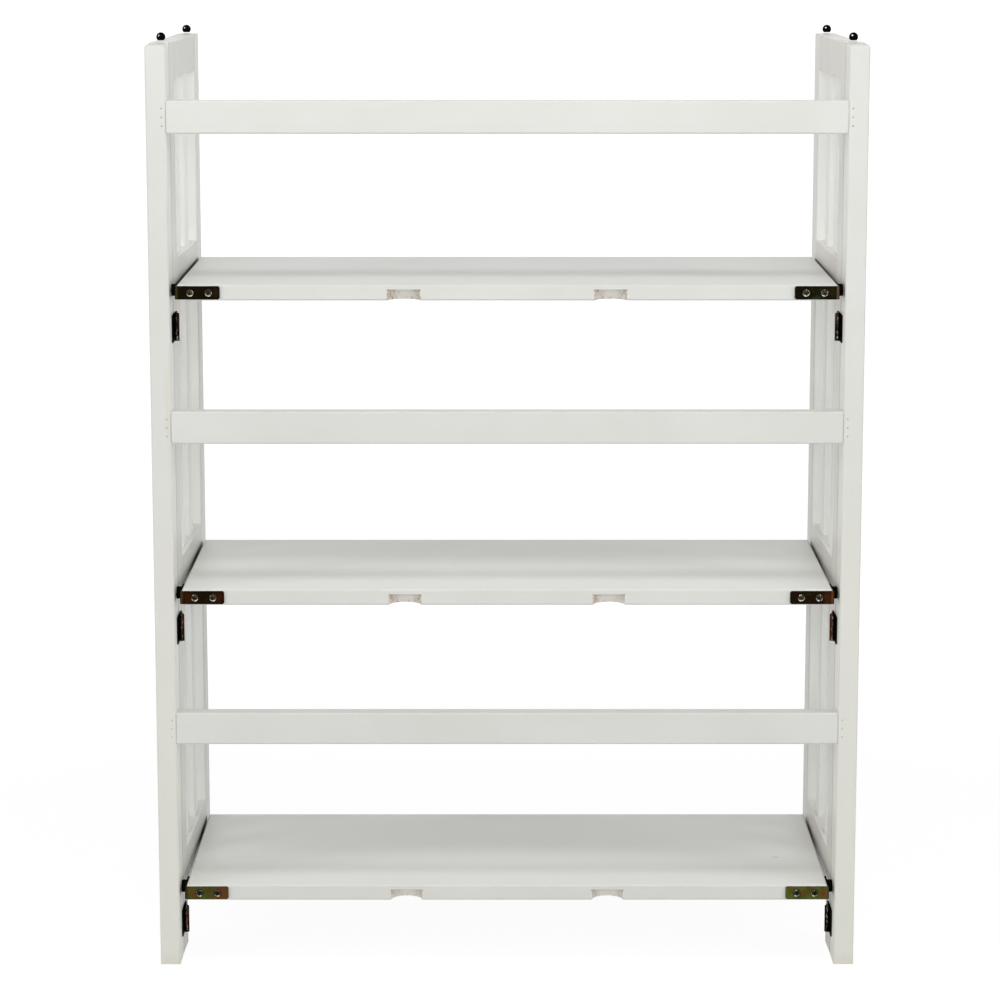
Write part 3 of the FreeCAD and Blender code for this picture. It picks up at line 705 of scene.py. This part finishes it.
@dataclass(frozen=True)
class PlatedScrew:
    """Zinc plate on the bracket screws, with painted highlights, and black in the slots, as painted
    shade, and in the seats.

    The painted crescent and dot stay in one place on every head.
    """

    name: str = "screw_zinc"
    # The first two colours are of a painted highlight and of painted reflections.
    bright: Colour = (0.78, 0.74, 0.64)
    mid: Colour = (0.115, 0.100, 0.065)
    tarnish: Colour = (0.012, 0.010, 0.006)
    black: Colour = (0.0035, 0.0030, 0.0022)
    lowest: float = Tier.BOTTOM.value - SHELF_THICKNESS / 2
    radius: float = 4.0 * MM

    def make(self) -> Material:
        """Builds the material."""
        bench = Bench(self.name, self.tarnish)
        x, _, z = bench.axes()
        between = sum(BRACKET_SCREW_X) / 2
        pitch = BRACKET_SCREW_X[0] - BRACKET_SCREW_X[1]
        across = (abs(x) - between + pitch / 2).wrapped(pitch)
        over = (z - self.lowest).wrapped(SHELF_PITCH)
        away = distance(across, over)
        dirt = bench.noise(420, detail=2)
        broken = bench.noise(330, detail=1, stretch=(1, 1, 1), shift=(5, 1, 9))

        below = over.rise(-self.radius * 0.10, -self.radius * 0.75)
        smile = away.rise(self.radius * 0.66, self.radius * 0.72)
        smile = smile * away.rise(self.radius * 0.88, self.radius * 0.82)
        diamond = abs(across) + abs(over)
        ring = diamond.rise(self.radius * 0.30, self.radius * 0.38)
        ring = ring * diamond.rise(self.radius * 0.60, self.radius * 0.52)
        highlight_by_height = z.rise(self.lowest - 40 * MM, self.lowest + 200 * MM) * 0.55 + 0.45

        # Painted reflections and highlights: grey rings, a broken crescent low on the head and a
        # dot, all but the dot fainter on the bottom tier.
        bench.lay(smile * (0.22 + dirt * 0.5), self.mid)
        bench.lay(ring * dirt.rise(0.36, 0.52) * highlight_by_height, self.mid)
        lit = smile * (below + broken.rise(0.56, 0.62) * 0.5).at_most(1.0) * broken.rise(0.34, 0.42)
        bench.lay(lit * highlight_by_height, self.bright)
        from_dot = distance(across + self.radius * 0.25, over + self.radius * 0.72)
        bench.lay(from_dot.rise(self.radius * 0.26, self.radius * 0.12), self.bright)
        # Black round the seat, and black in the slots by ambient occlusion as painted shade.
        seat = away.rise(self.radius * 0.86, self.radius * 0.95)
        pocket = bench.creases(2.0 * MM).rise(0.12, 0.45)
        bench.lay((pocket + seat).at_most(1.0), self.black)
        normal = bench.bump(dirt, 0.02 * MM, 0.3, bench.softened(0.25 * MM))
        return bench.finish(Metallic=1.0, Roughness=0.20 + dirt * 0.16, Normal=normal)


@dataclass(frozen=True)
class GlossBlack:
    """Gloss black plastic coat on the ball-topped pins, with a painted highlight fixed in place."""

    name: str = "pin_gloss_black"
    colour: Colour = (0.0030, 0.0030, 0.0032)
    dust: Colour = (0.008, 0.008, 0.007)
    window: Colour = (0.48, 0.49, 0.50)
    window_way: tuple[float, float, float] = (-0.36, -0.86, 0.36)

    def make(self) -> Material:
        """Builds the material."""
        bench = Bench(self.name, self.colour)
        dust = bench.noise(900, detail=2)
        bench.lay(dust.rise(0.55, 0.80) * 0.25, self.dust)
        # Painted highlight: a reflection painted where the surface faces one way.
        bench.lay(bench.facing(self.window_way).rise(0.978, 0.994), self.window)
        normal = bench.bump(bench.noise(380, detail=1), 0.02 * MM, 0.35)
        return bench.finish(
            Metallic=1.0, Roughness=0.03 + dust * 0.05, Normal=normal,
            Specular_Tint=(0.02, 0.02, 0.02, 1.0))


@dataclass(frozen=True)
class BareDowel:
    """Unpainted hardwood dowel, grain along its length."""

    name: str = "bare_dowel"
    pale: Colour = (0.60, 0.44, 0.27)
    dark: Colour = (0.38, 0.25, 0.14)
    pore: Colour = (0.20, 0.12, 0.06)

    def make(self) -> Material:
        """Builds the material."""
        bench = Bench(self.name, self.pale)
        along = Grain.ALONG_X.value
        fibres = bench.noise(520, detail=4, roughness=0.65, stretch=along)
        pores = bench.noise(1500, detail=2, stretch=along, shift=(2, 2, 2))
        bench.lay(fibres.rise(0.35, 0.70), self.dark)
        bench.lay(pores.rise(0.62, 0.72) * 0.5, self.pore)
        normal = bench.bump(fibres * 0.6 + pores * 0.4, 0.08 * MM, 0.7, bench.softened(0.6 * MM))
        return bench.finish(Roughness=0.58 + fibres * 0.15, Normal=normal)


@dataclass(frozen=True)
class StudioFloor:
    """A white sweep that keeps a soft shadow near the middle and shows as white to the camera."""

    name: str = "studio_white"
    colour: Colour = (0.82, 0.82, 0.82)
    glow: float = 1.085
    glow_share: float = 0.86
    near: float = 0.75
    far: float = 1.60

    def make(self) -> Material:
        """Builds the material."""
        bench = Bench(self.name, self.colour)
        paper = bench.noise(3, detail=2)
        bench.lay(paper * 0.05, (0.80, 0.80, 0.80))
        matt = bench.node("ShaderNodeBsdfDiffuse", values={"Color": bench.colour})
        light = {"Color": WHITE, "Strength": self.glow}
        glow = bench.node("ShaderNodeEmission", values=light)
        x, y, _ = bench.axes()
        away = distance(x, y).rise(self.near, self.far)
        share = self.glow_share + away * (1 - self.glow_share)
        values = {0: bench.seen() * share, 1: matt.outputs[0], 2: glow.outputs[0]}
        return bench.show(bench.node("ShaderNodeMixShader", values=values))


# -------------------- modelling

class Workshop:
    """Hand tools for modelling with Blender's own operators."""

    @staticmethod
    def clear_selection() -> None:
        """Leaves edit mode and deselects every object."""
        if bpy.context.object and bpy.context.object.mode != "OBJECT":
            bpy.ops.object.mode_set(mode="OBJECT")
        bpy.ops.object.select_all(action="DESELECT")

    @classmethod
    def take(cls, *pieces: Piece) -> None:
        """Selects only these pieces, the last of them active."""
        cls.clear_selection()
        for piece in pieces:
            piece.select_set(True)
        bpy.context.view_layer.objects.active = pieces[-1]

    @classmethod
    def open_up(cls, piece: Piece) -> None:
        """Opens a piece in edit mode, with all of it selected."""
        cls.take(piece)
        bpy.ops.object.mode_set(mode="EDIT")
        bpy.ops.mesh.select_all(action="SELECT")

    @classmethod
    def pick_faces(cls, piece: Piece, test: Callable[[Vector, Vector], bool]) -> None:
        """Selects a piece's faces in edit mode.

        Args:
            piece: The piece to edit.
            test: Says of a face's centre and normal whether it is picked.
        """
        cls.take(piece)
        bpy.ops.object.mode_set(mode="EDIT")
        bpy.ops.mesh.select_mode(type="FACE")
        bpy.ops.mesh.select_all(action="DESELECT")
        bpy.ops.object.mode_set(mode="OBJECT")
        for face in piece.data.polygons:
            face.select = test(face.center, face.normal)
        bpy.ops.object.mode_set(mode="EDIT")

    @staticmethod
    def draw_out(rings: Sequence[tuple[float, float]], height: float, radius: float) -> None:
        """Draws the picked end face out through rings, and leaves edit mode.

        Args:
            rings: The height and radius of each ring in turn.
            height: The face's own height.
            radius: The face's own radius.
        """
        for ring_height, ring_radius in rings:
            step = (0, 0, ring_height - height)
            bpy.ops.mesh.extrude_region_move(TRANSFORM_OT_translate={"value": step})
            spread = ring_radius / radius
            bpy.ops.transform.resize(value=(spread, spread, 1))
            height, radius = ring_height, ring_radius
        bpy.ops.object.mode_set(mode="OBJECT")

    @classmethod
    def tidy(cls, piece: Piece, smooth_angle: float) -> Piece:
        """Merges doubles, turns the faces outwards and smooths the shading.

        Args:
            piece: The piece to tidy.
            smooth_angle: Edges sharper than this stay sharp, in degrees.

        Returns:
            The same piece.
        """
        cls.open_up(piece)
        bpy.ops.mesh.remove_doubles(threshold=0.002 * MM)
        bpy.ops.mesh.normals_make_consistent(inside=False)
        bpy.ops.object.mode_set(mode="OBJECT")
        bpy.ops.object.shade_smooth_by_angle(angle=math.radians(smooth_angle))
        return piece

    @classmethod
    def settle(cls, piece: Piece) -> Piece:
        """Moves a piece's place into its mesh, so that the piece sits at the origin."""
        cls.take(piece)
        bpy.ops.object.transform_apply(location=True, rotation=True, scale=True)
        return piece

    @classmethod
    def turn_disc(cls, sides: int, radius: float, depth: float) -> Piece:
        """Turns a disc that stands on z = 0, and picks its upper face.

        Args:
            sides: The number of its sides.
            radius: Its radius.
            depth: Its height.

        Returns:
            The disc, in edit mode.
        """
        cls.clear_selection()
        bpy.ops.mesh.primitive_cylinder_add(
            vertices=sides, radius=radius, depth=depth, location=(0, 0, depth / 2))
        disc = cls.settle(bpy.context.object)
        cls.pick_faces(disc, lambda centre, normal: normal.z > 0.9)
        return disc

    @classmethod
    def lay_out(cls, master: Piece, name: str, places: Sequence[Matrix]) -> Piece:
        """Copies a master piece to several places and joins the copies.

        Args:
            master: The piece modelled once, at the origin.
            name: The joined object's name.
            places: Where each copy goes.

        Returns:
            The joined object, settled at the origin.
        """
        copies = []
        for place in places:
            copy = master.copy()
            copy.data = master.data.copy()
            bpy.context.scene.collection.objects.link(copy)
            copy.matrix_world = place
            copies.append(cls.settle(copy))
        cls.take(*copies)
        bpy.ops.object.join()
        joined = bpy.context.object
        joined.name = joined.data.name = name
        return joined

    @classmethod
    def scrap(cls, piece: Piece) -> None:
        """Throws a master piece away."""
        cls.clear_selection()
        bpy.data.objects.remove(piece, do_unlink=True)


@dataclass
class CrossHeadScrew:
    """A screw's raised head with a cross slot. Its axis is Z, and it sits on z = 0.

    The dome's rings give their share of the rise over the rim, and of the radius.
    """

    radius: float = 4.0 * MM
    rim: float = 0.35 * MM
    crown: float = 1.15 * MM
    slot_reach: float = 2.35 * MM
    slot_width: float = 1.05 * MM
    slot_depth: float = 0.95 * MM
    sides: int = 32
    dome: tuple[tuple[float, float], ...] = ((0.42, 0.80), (0.68, 0.62), (0.88, 0.40))
    slot_taper: tuple[float, float, float] = (0.55, 0.7, 1)

    def build(self) -> Piece:
        """Models the head, at the origin."""
        head = Workshop.turn_disc(self.sides, self.radius, self.rim)
        rise = self.crown - self.rim
        rings = [(self.rim + rise * up, self.radius * reach) for up, reach in self.dome]
        Workshop.draw_out(rings, self.rim, self.radius)
        self._cut_cross(Workshop.tidy(head, 60))
        return Workshop.tidy(head, 38)

    def _cut_cross(self, head: Piece) -> None:
        """Cuts the tapered cross slot out of a head."""
        arms = []
        for turn in (0, 90):
            Workshop.clear_selection()
            bpy.ops.mesh.primitive_cube_add(size=1, location=(0, 0, self.crown))
            bpy.ops.transform.resize(
                value=(self.slot_reach * 2, self.slot_width, self.slot_depth * 2))
            arm = Workshop.settle(bpy.context.object)
            Workshop.pick_faces(arm, lambda centre, normal: normal.z < -0.9)
            bpy.ops.transform.resize(value=self.slot_taper)
            bpy.ops.object.mode_set(mode="OBJECT")
            arm.rotation_euler.z = math.radians(turn)
            arms.append(Workshop.settle(arm))
        for arm in arms:
            cut = head.modifiers.new("slot", "BOOLEAN")
            cut.operation = "DIFFERENCE"
            cut.object = arm
            cut.solver = "EXACT"
            Workshop.take(head)
            bpy.ops.object.modifier_apply(modifier=cut.name)
            Workshop.scrap(arm)


@dataclass
class BallPin:
    """A stacking pin's ball on its short neck. It stands on z = 0 along Z."""

    radius: float = 4.48 * MM
    height: float = 9.5 * MM
    neck: float = 3.1 * MM
    foot: float = 4.1 * MM
    seat: float = 0.6 * MM

    def build(self) -> Piece:
        """Models the pin, at the origin."""
        Workshop.clear_selection()
        middle = self.height - self.radius
        bpy.ops.mesh.primitive_uv_sphere_add(
            segments=40, ring_count=24, radius=self.radius, location=(0, 0, middle))
        pin = Workshop.settle(bpy.context.object)
        Workshop.open_up(pin)
        cut = middle - math.sqrt(self.radius ** 2 - self.neck ** 2)
        bpy.ops.mesh.bisect(
            plane_co=(0, 0, cut), plane_no=(0, 0, 1), clear_inner=True, use_fill=True)
        bpy.ops.object.mode_set(mode="OBJECT")
        below = cut + 0.01 * MM
        Workshop.pick_faces(pin, lambda centre, normal: normal.z < -0.99 and centre.z < below)
        Workshop.draw_out(((self.seat, self.neck), (0, self.foot)), cut, self.neck)
        return Workshop.tidy(pin, 50)


@dataclass
class PaintCollar:
    """The rim of thick paint round a stacking pin. It lies on z = 0 round Z."""

    reach: float = 5.7 * MM
    thickness: float = 0.95 * MM
    height: float = 0.70 * MM
    roughness: float = 0.05 * MM

    def build(self) -> Piece:
        """Models the rim, at the origin."""
        Workshop.clear_selection()
        bpy.ops.mesh.primitive_torus_add(
            major_radius=self.reach - self.thickness, minor_radius=self.thickness,
            major_segments=48, minor_segments=12)
        rim = bpy.context.object
        Workshop.open_up(rim)
        bpy.ops.transform.resize(value=(1, 1, self.height / self.thickness))
        bpy.ops.transform.vertex_random(offset=self.roughness, seed=3)
        return Workshop.tidy(rim, 60)


@dataclass
class PinTip:
    """The upper end of a hinge pin: a low dome over the knuckle and a blunt tip on it."""

    radius: float = 2.55 * MM
    base: float = 0.2 * MM
    dome: float = 0.75 * MM
    tip_radius: float = 1.15 * MM
    height: float = 2.5 * MM

    def build(self) -> Piece:
        """Models the tip, standing on z = 0 at the origin."""
        tip = Workshop.turn_disc(28, self.radius, self.base)
        rings = (
            (0.6 * self.dome, 0.86 * self.radius),
            (self.dome, 0.62 * self.radius),
            (self.dome + 0.15 * MM, self.tip_radius),
            (self.height - 0.6 * MM, 0.95 * self.tip_radius),
            (self.height - 0.15 * MM, 0.72 * self.tip_radius),
            (self.height, 0.35 * self.tip_radius),
        )
        Workshop.draw_out(rings, self.base, self.radius)
        return Workshop.tidy(tip, 55)


# -------------------- the bookcase

def paint_node(node: str, material: Material) -> None:
    """Puts one material in every slot of a CAD node.

    Args:
        node: The node's name.
        material: Its new finish.
    """
    for slot in frame["nodes"][node].material_slots:
        slot.material = material
    LOG.info("painted %s with %s", node, material.name)


def add_piece(piece: Piece, body: str, material: Material) -> None:
    """Finishes a new piece and lets it ride on its body.

    Args:
        piece: The piece, settled at the origin.
        body: The CAD body that carries it.
        material: Its finish.
    """
    piece.data.materials.clear()
    piece.data.materials.append(material)
    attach(piece, body)
    LOG.info("made %s: %d faces on %s", piece.name, len(piece.data.polygons), body)


def mount_place(name: str) -> Vector:
    """The place of one of the record's mounts."""
    return Vector(next(m["pos_m"] for m in frame["record"]["mounts"] if m["name"] == name))


@dataclass
class BackFrame:
    """Two posts and three rails, which carry everything else."""

    body: str = "back_frame"

    def build(self) -> None:
        """Paints the posts and rails."""
        post_paint = PostPaint("paint_posts", Grain.UPRIGHT).make()
        rail_paint = SatinPaint("paint_back_rails", Grain.ALONG_X, grime_strength=0.22).make()
        for side in Side:
            paint_node(f"back_post_{side.word}", post_paint)
        for tier in Tier:
            paint_node(f"back_rail_{tier.word}", rail_paint)


@dataclass
class SideFrame:
    """Stiles, rails and slats of one side, with the shelf rests and stacking pins."""

    side: Side
    upright_paint: Material
    rail_paint: Material
    dowel: Material
    pin_black: Material

    @property
    def body(self) -> str:
        """The CAD body's name."""
        return f"side_frame_{self.side.word}"

    def build(self) -> None:
        """Paints the frame and stands its pins."""
        self._paint()
        self._add_pins()

    def _paint(self) -> None:
        """Paints each member along its own grain."""
        word = self.side.word
        levels, places = ("upper", "middle", "lower"), ("rear", "front")
        uprights = [f"{place}_stile_{word}" for place in places]
        uprights += [f"slat_{level}_{place}_{word}" for level in levels for place in places]
        rails = [f"top_rail_{word}"] + [f"cross_rail_{level}_{word}" for level in levels]
        for node in uprights:
            paint_node(node, self.upright_paint)
        for node in rails:
            paint_node(node, self.rail_paint)
        paint_node(f"shelf_rests_{word}", self.dowel)

    def _add_pins(self) -> None:
        """Stands a ball pin and its paint rim on each stile."""
        names = [f"stacking_pin_{place}_{self.side.word}" for place in ("rear", "front")]
        places = [Matrix.Translation((*mount_place(name).xy, HEIGHT)) for name in names]
        master = BallPin().build()
        pins = Workshop.lay_out(master, f"ball_pins_{self.side.word}", places)
        Workshop.scrap(master)
        add_piece(pins, self.body, self.pin_black)
        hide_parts(f"stacking_pins_{self.side.word}")
        master = PaintCollar().build()
        rims = Workshop.lay_out(master, f"paint_rims_{self.side.word}", places)
        Workshop.scrap(master)
        add_piece(rims, self.body, self.upright_paint)


@dataclass
class Shelf:
    """One shelf with its corner brackets and their screws."""

    paint: ShelfPaint
    bracket: Passivate
    screw_steel: Material

    def build(self, screw: Piece) -> None:
        """Paints the shelf and fits its screws.

        Args:
            screw: The master screw head.
        """
        tier = self.bracket.tier
        word = tier.word
        paint_node(f"shelf_{word}", self.paint.make())
        paint_node(f"shelf_brackets_{word}", self.bracket.make())
        places = []
        facing = Matrix.Rotation(math.radians(90), 4, "X")
        height = tier.value - SHELF_THICKNESS / 2
        for number, (side, x) in enumerate((side, x) for side in Side for x in BRACKET_SCREW_X):
            turn = math.radians(17 + 31 * number + 40 * list(Tier).index(tier))
            spot = Matrix.Translation((side.value * x, BRACKET_FACE_Y, height))
            places.append(spot @ facing @ Matrix.Rotation(turn, 4, "Z"))
        screws = Workshop.lay_out(screw, f"bracket_screws_{word}", places)
        add_piece(screws, f"shelf_{word}_unit", self.screw_steel)


@dataclass
class Hinges:
    """The six butt hinges between the posts and the side frames."""

    steel: Material
    leaf_face: float = 328.8 * MM
    drop: float = 46 * MM
    half_height: float = 13.5 * MM
    screw_inset: float = 10.5 * MM
    screw_rise: float = 7.0 * MM

    def build(self) -> None:
        """Finishes the leaves, and adds their screws and the tips of their pins."""
        for node in ("post_hinge_leaves", "frame_hinge_leaves_left", "frame_hinge_leaves_right"):
            paint_node(node, self.steel)
        screw = CrossHeadScrew(
            radius=2.3 * MM, rim=0.15 * MM, crown=0.6 * MM, slot_reach=1.35 * MM,
            slot_width=0.6 * MM, slot_depth=0.5 * MM, sides=24).build()
        places = self._screw_places(tuple(Side), -self.screw_inset)
        self._add(screw, "post_leaf_screws", places, "back_frame")
        for side in Side:
            line = Matrix.Translation((side.value * HINGE_X, HINGE_Y, 0))
            swing = line @ Matrix.Rotation(TOE_IN * side.value, 4, "Z") @ line.inverted()
            places = [swing @ place for place in self._screw_places((side,), self.screw_inset)]
            name = f"frame_leaf_screws_{side.word}"
            self._add(screw, name, places, f"side_frame_{side.word}")
        Workshop.scrap(screw)
        tip = PinTip().build()
        places = [
            Matrix.Translation((side.value * HINGE_X, HINGE_Y, height + self.half_height))
            for side in Side for height in self._heights()
        ]
        self._add(tip, "hinge_pin_tips", places, "back_frame")
        Workshop.scrap(tip)

    def _heights(self) -> list[float]:
        """The heights of the hinges' middles."""
        return [tier.value - self.drop for tier in Tier]

    def _screw_places(self, sides: Sequence[Side], inset: float) -> list[Matrix]:
        """The places of the screws in one row of leaves, facing the middle of the bookcase.

        Args:
            sides: The sides that have them.
            inset: How far they lie in front of the hinge line.

        Returns:
            Their places, each screw turned its own way.
        """
        spots = [
            (side, height + sign * self.screw_rise)
            for side in sides for height in self._heights() for sign in (-1, 1)
        ]
        places = []
        for number, (side, z) in enumerate(spots):
            spot = Matrix.Translation((side.value * self.leaf_face, HINGE_Y + inset, z))
            facing = Matrix.Rotation(math.radians(-90 * side.value), 4, "Y")
            turn = Matrix.Rotation(math.radians(23 + 37 * number), 4, "Z")
            places.append(spot @ facing @ turn)
        return places

    def _add(self, master: Piece, name: str, places: Sequence[Matrix], body: str) -> None:
        """Lays out copies of a master piece, which ride on a body."""
        add_piece(Workshop.lay_out(master, name, places), body, self.steel)


# -------------------- the studio

@dataclass
class SoftBox:
    """One rectangular lamp."""

    name: str
    place: tuple[float, float, float]
    aim: tuple[float, float, float]
    size: tuple[float, float]
    watts: float

    def light(self) -> None:
        """Hangs the lamp and points it."""
        data = bpy.data.lights.new(self.name, "AREA")
        data.shape = "RECTANGLE"
        data.size, data.size_y = self.size
        data.energy = self.watts
        lamp = bpy.data.objects.new(self.name, data)
        bpy.context.scene.collection.objects.link(lamp)
        lamp.location = self.place
        towards = Vector(self.aim) - Vector(self.place)
        lamp.rotation_euler = towards.to_track_quat("-Z", "Y").to_euler()
        lamp.visible_camera = False


@dataclass
class Studio:
    """The white floor, the lamps and the camera."""

    camera_place: tuple[float, float, float] = (-0.008, -3.296, 1.048)
    pitch: float = 9.744
    yaw: float = 0.017
    lens: float = 116.83
    shift: float = -0.03
    world_strength: float = 0.375

    def build(self) -> None:
        """Sets up the studio."""
        self._lay_floor()
        self._fill_world()
        for lamp in (
            SoftBox("front", (0.0, -3.6, 1.2), (0, 0, 0.55), (1.6, 1.0), 18.0),
            SoftBox("overhead", (0.0, -0.59, 1.60), (0, -0.05, 0.35), (1.2, 0.22), 3.3),
            SoftBox("boom", (0.0, -1.1, 2.3), (0, 0, 0.4), (1.2, 0.24), 1.5),
            SoftBox("fill_left", (-2.6, -1.3, 1.3), (0, 0, 0.5), (1.2, 1.5), 18.4),
            SoftBox("fill_right", (2.6, -1.3, 1.3), (0, 0, 0.5), (1.2, 1.5), 18.4),
            SoftBox("glint", (0.55, -2.0, 0.20), (0, 0, 0.4), (0.16, 0.16), 0.9),
        ):
            lamp.light()
            LOG.info("hung lamp %s", lamp.name)
        self._stand_camera()
        bpy.context.scene.view_settings.view_transform = "Standard"

    def _lay_floor(self) -> None:
        """Lays the white floor."""
        Workshop.clear_selection()
        bpy.ops.mesh.primitive_plane_add(size=120, location=(0, 0, 0))
        floor = bpy.context.object
        floor.name = "studio_floor"
        floor.data.materials.append(StudioFloor().make())

    def _fill_world(self) -> None:
        """Fills the room with even light, and shows it as white."""
        world = bpy.data.worlds.new("studio_air")
        bpy.context.scene.world = world
        bench = Bench(world)
        values = {"Value": bench.seen(), "To Min": self.world_strength, "To Max": 1.0}
        strength = bench.signal("ShaderNodeMapRange", values=values)
        air = bench.node("ShaderNodeBackground", values={"Color": WHITE, "Strength": strength})
        bench.show(air, "World")

    def _stand_camera(self) -> None:
        """Stands the camera behind the bookcase, a little above its top."""
        data = bpy.data.cameras.new("studio_camera")
        data.lens = self.lens
        data.sensor_width = 36.0
        data.shift_y = self.shift
        data.clip_end = 200.0
        camera = bpy.data.objects.new("studio_camera", data)
        bpy.context.scene.collection.objects.link(camera)
        camera.location = self.camera_place
        camera.rotation_euler = (math.radians(90 - self.pitch), 0, math.radians(-self.yaw))
        bpy.context.scene.camera = camera


# -------------------- assembly

def build_shelves(screw_steel: Material) -> None:
    """Finishes the three shelves, each with the dirt and the metal colours of its own.

    Args:
        screw_steel: The finish of the bracket screws.
    """
    screw = CrossHeadScrew().build()
    olive = Passivate(
        "bracket_olive", Tier.TOP, dark=(0.0060, 0.0045, 0.0016), green=(0.020, 0.030, 0.008),
        rust=(0.013, 0.009, 0.004), green_share=0.50,
        blooms=(Bloom(0.318, 0, 5 * MM), Bloom(-0.284, 0, 5 * MM)),
        rubbed=(0.085, 0.062, 0.034), rubbed_left=(0.032, 0.035, 0.010), right_share=0.9, seed=1.0)
    brown = Passivate(
        "bracket_brown", Tier.MIDDLE, dark=(0.0100, 0.0050, 0.0019), green=(0.018, 0.012, 0.004),
        rust=(0.038, 0.011, 0.004), green_share=0.45,
        blooms=(
            Bloom(0.319, 0, 6 * MM), Bloom(-0.316, 0, 6 * MM, 0.7), Bloom(-0.287, 0, 6 * MM, 0.7)),
        rubbed=(0.090, 0.038, 0.014), rubbed_left=(0.062, 0.030, 0.014), seed=2.0)
    mottled = Passivate(
        "bracket_mottled", Tier.BOTTOM, dark=(0.050, 0.046, 0.010), green=(0.068, 0.098, 0.015),
        rust=(0.120, 0.038, 0.014), green_share=1.0,
        blooms=(
            Bloom(-0.2885, 0, 10.5 * MM), Bloom(-0.3140, -1 * MM, 4.5 * MM),
            Bloom(-0.3215, 4 * MM, 3.5 * MM, 0.8), Bloom(-0.303, 7.5 * MM, 3 * MM, 0.6),
            Bloom(0.2988, 0, 3.2 * MM, 0.9), Bloom(0.3185, -1 * MM, 4.0 * MM),
            Bloom(0.3065, 6.5 * MM, 3.4 * MM, 0.8), Bloom(0.2855, 5 * MM, 3.0 * MM, 0.6)),
        rubbed=(0.072, 0.062, 0.020), rubbed_left=(0.030, 0.022, 0.008), seed=3.0)
    # The top shelf's top face is painted darker, as painted shade.
    top = ShelfPaint("paint_shelf_top", Grain.ALONG_X, tier=Tier.TOP, face=(0.78, 0.78, 0.75))
    middle = ShelfPaint("paint_shelf_middle", Grain.ALONG_X, tier=Tier.MIDDLE, soiled=0.75)
    bottom = ShelfPaint(
        "paint_shelf_bottom", Grain.ALONG_X, tier=Tier.BOTTOM, soiled=0.6,
        scuff=(0.279, -0.045, 5 * MM))
    for paint, bracket in ((top, olive), (middle, brown), (bottom, mottled)):
        Shelf(paint, bracket, screw_steel).build(screw)
    Workshop.scrap(screw)


def main() -> None:
    """Builds the bookcase's finish, then the studio round it."""
    logging.basicConfig(level=logging.INFO, format="%(name)s: %(message)s")
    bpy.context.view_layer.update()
    upright_paint = FramePaint("paint_uprights", Grain.UPRIGHT).make()
    rail_paint = FramePaint("paint_side_rails", Grain.ALONG_Y).make()
    dowel = BareDowel().make()
    pin_black = GlossBlack().make()
    BackFrame().build()
    for side in Side:
        SideFrame(side, upright_paint, rail_paint, dowel, pin_black).build()
    build_shelves(PlatedScrew().make())
    Hinges(HingeSteel().make()).build()
    Studio().build()


if __name__ == "__main__":
    main()
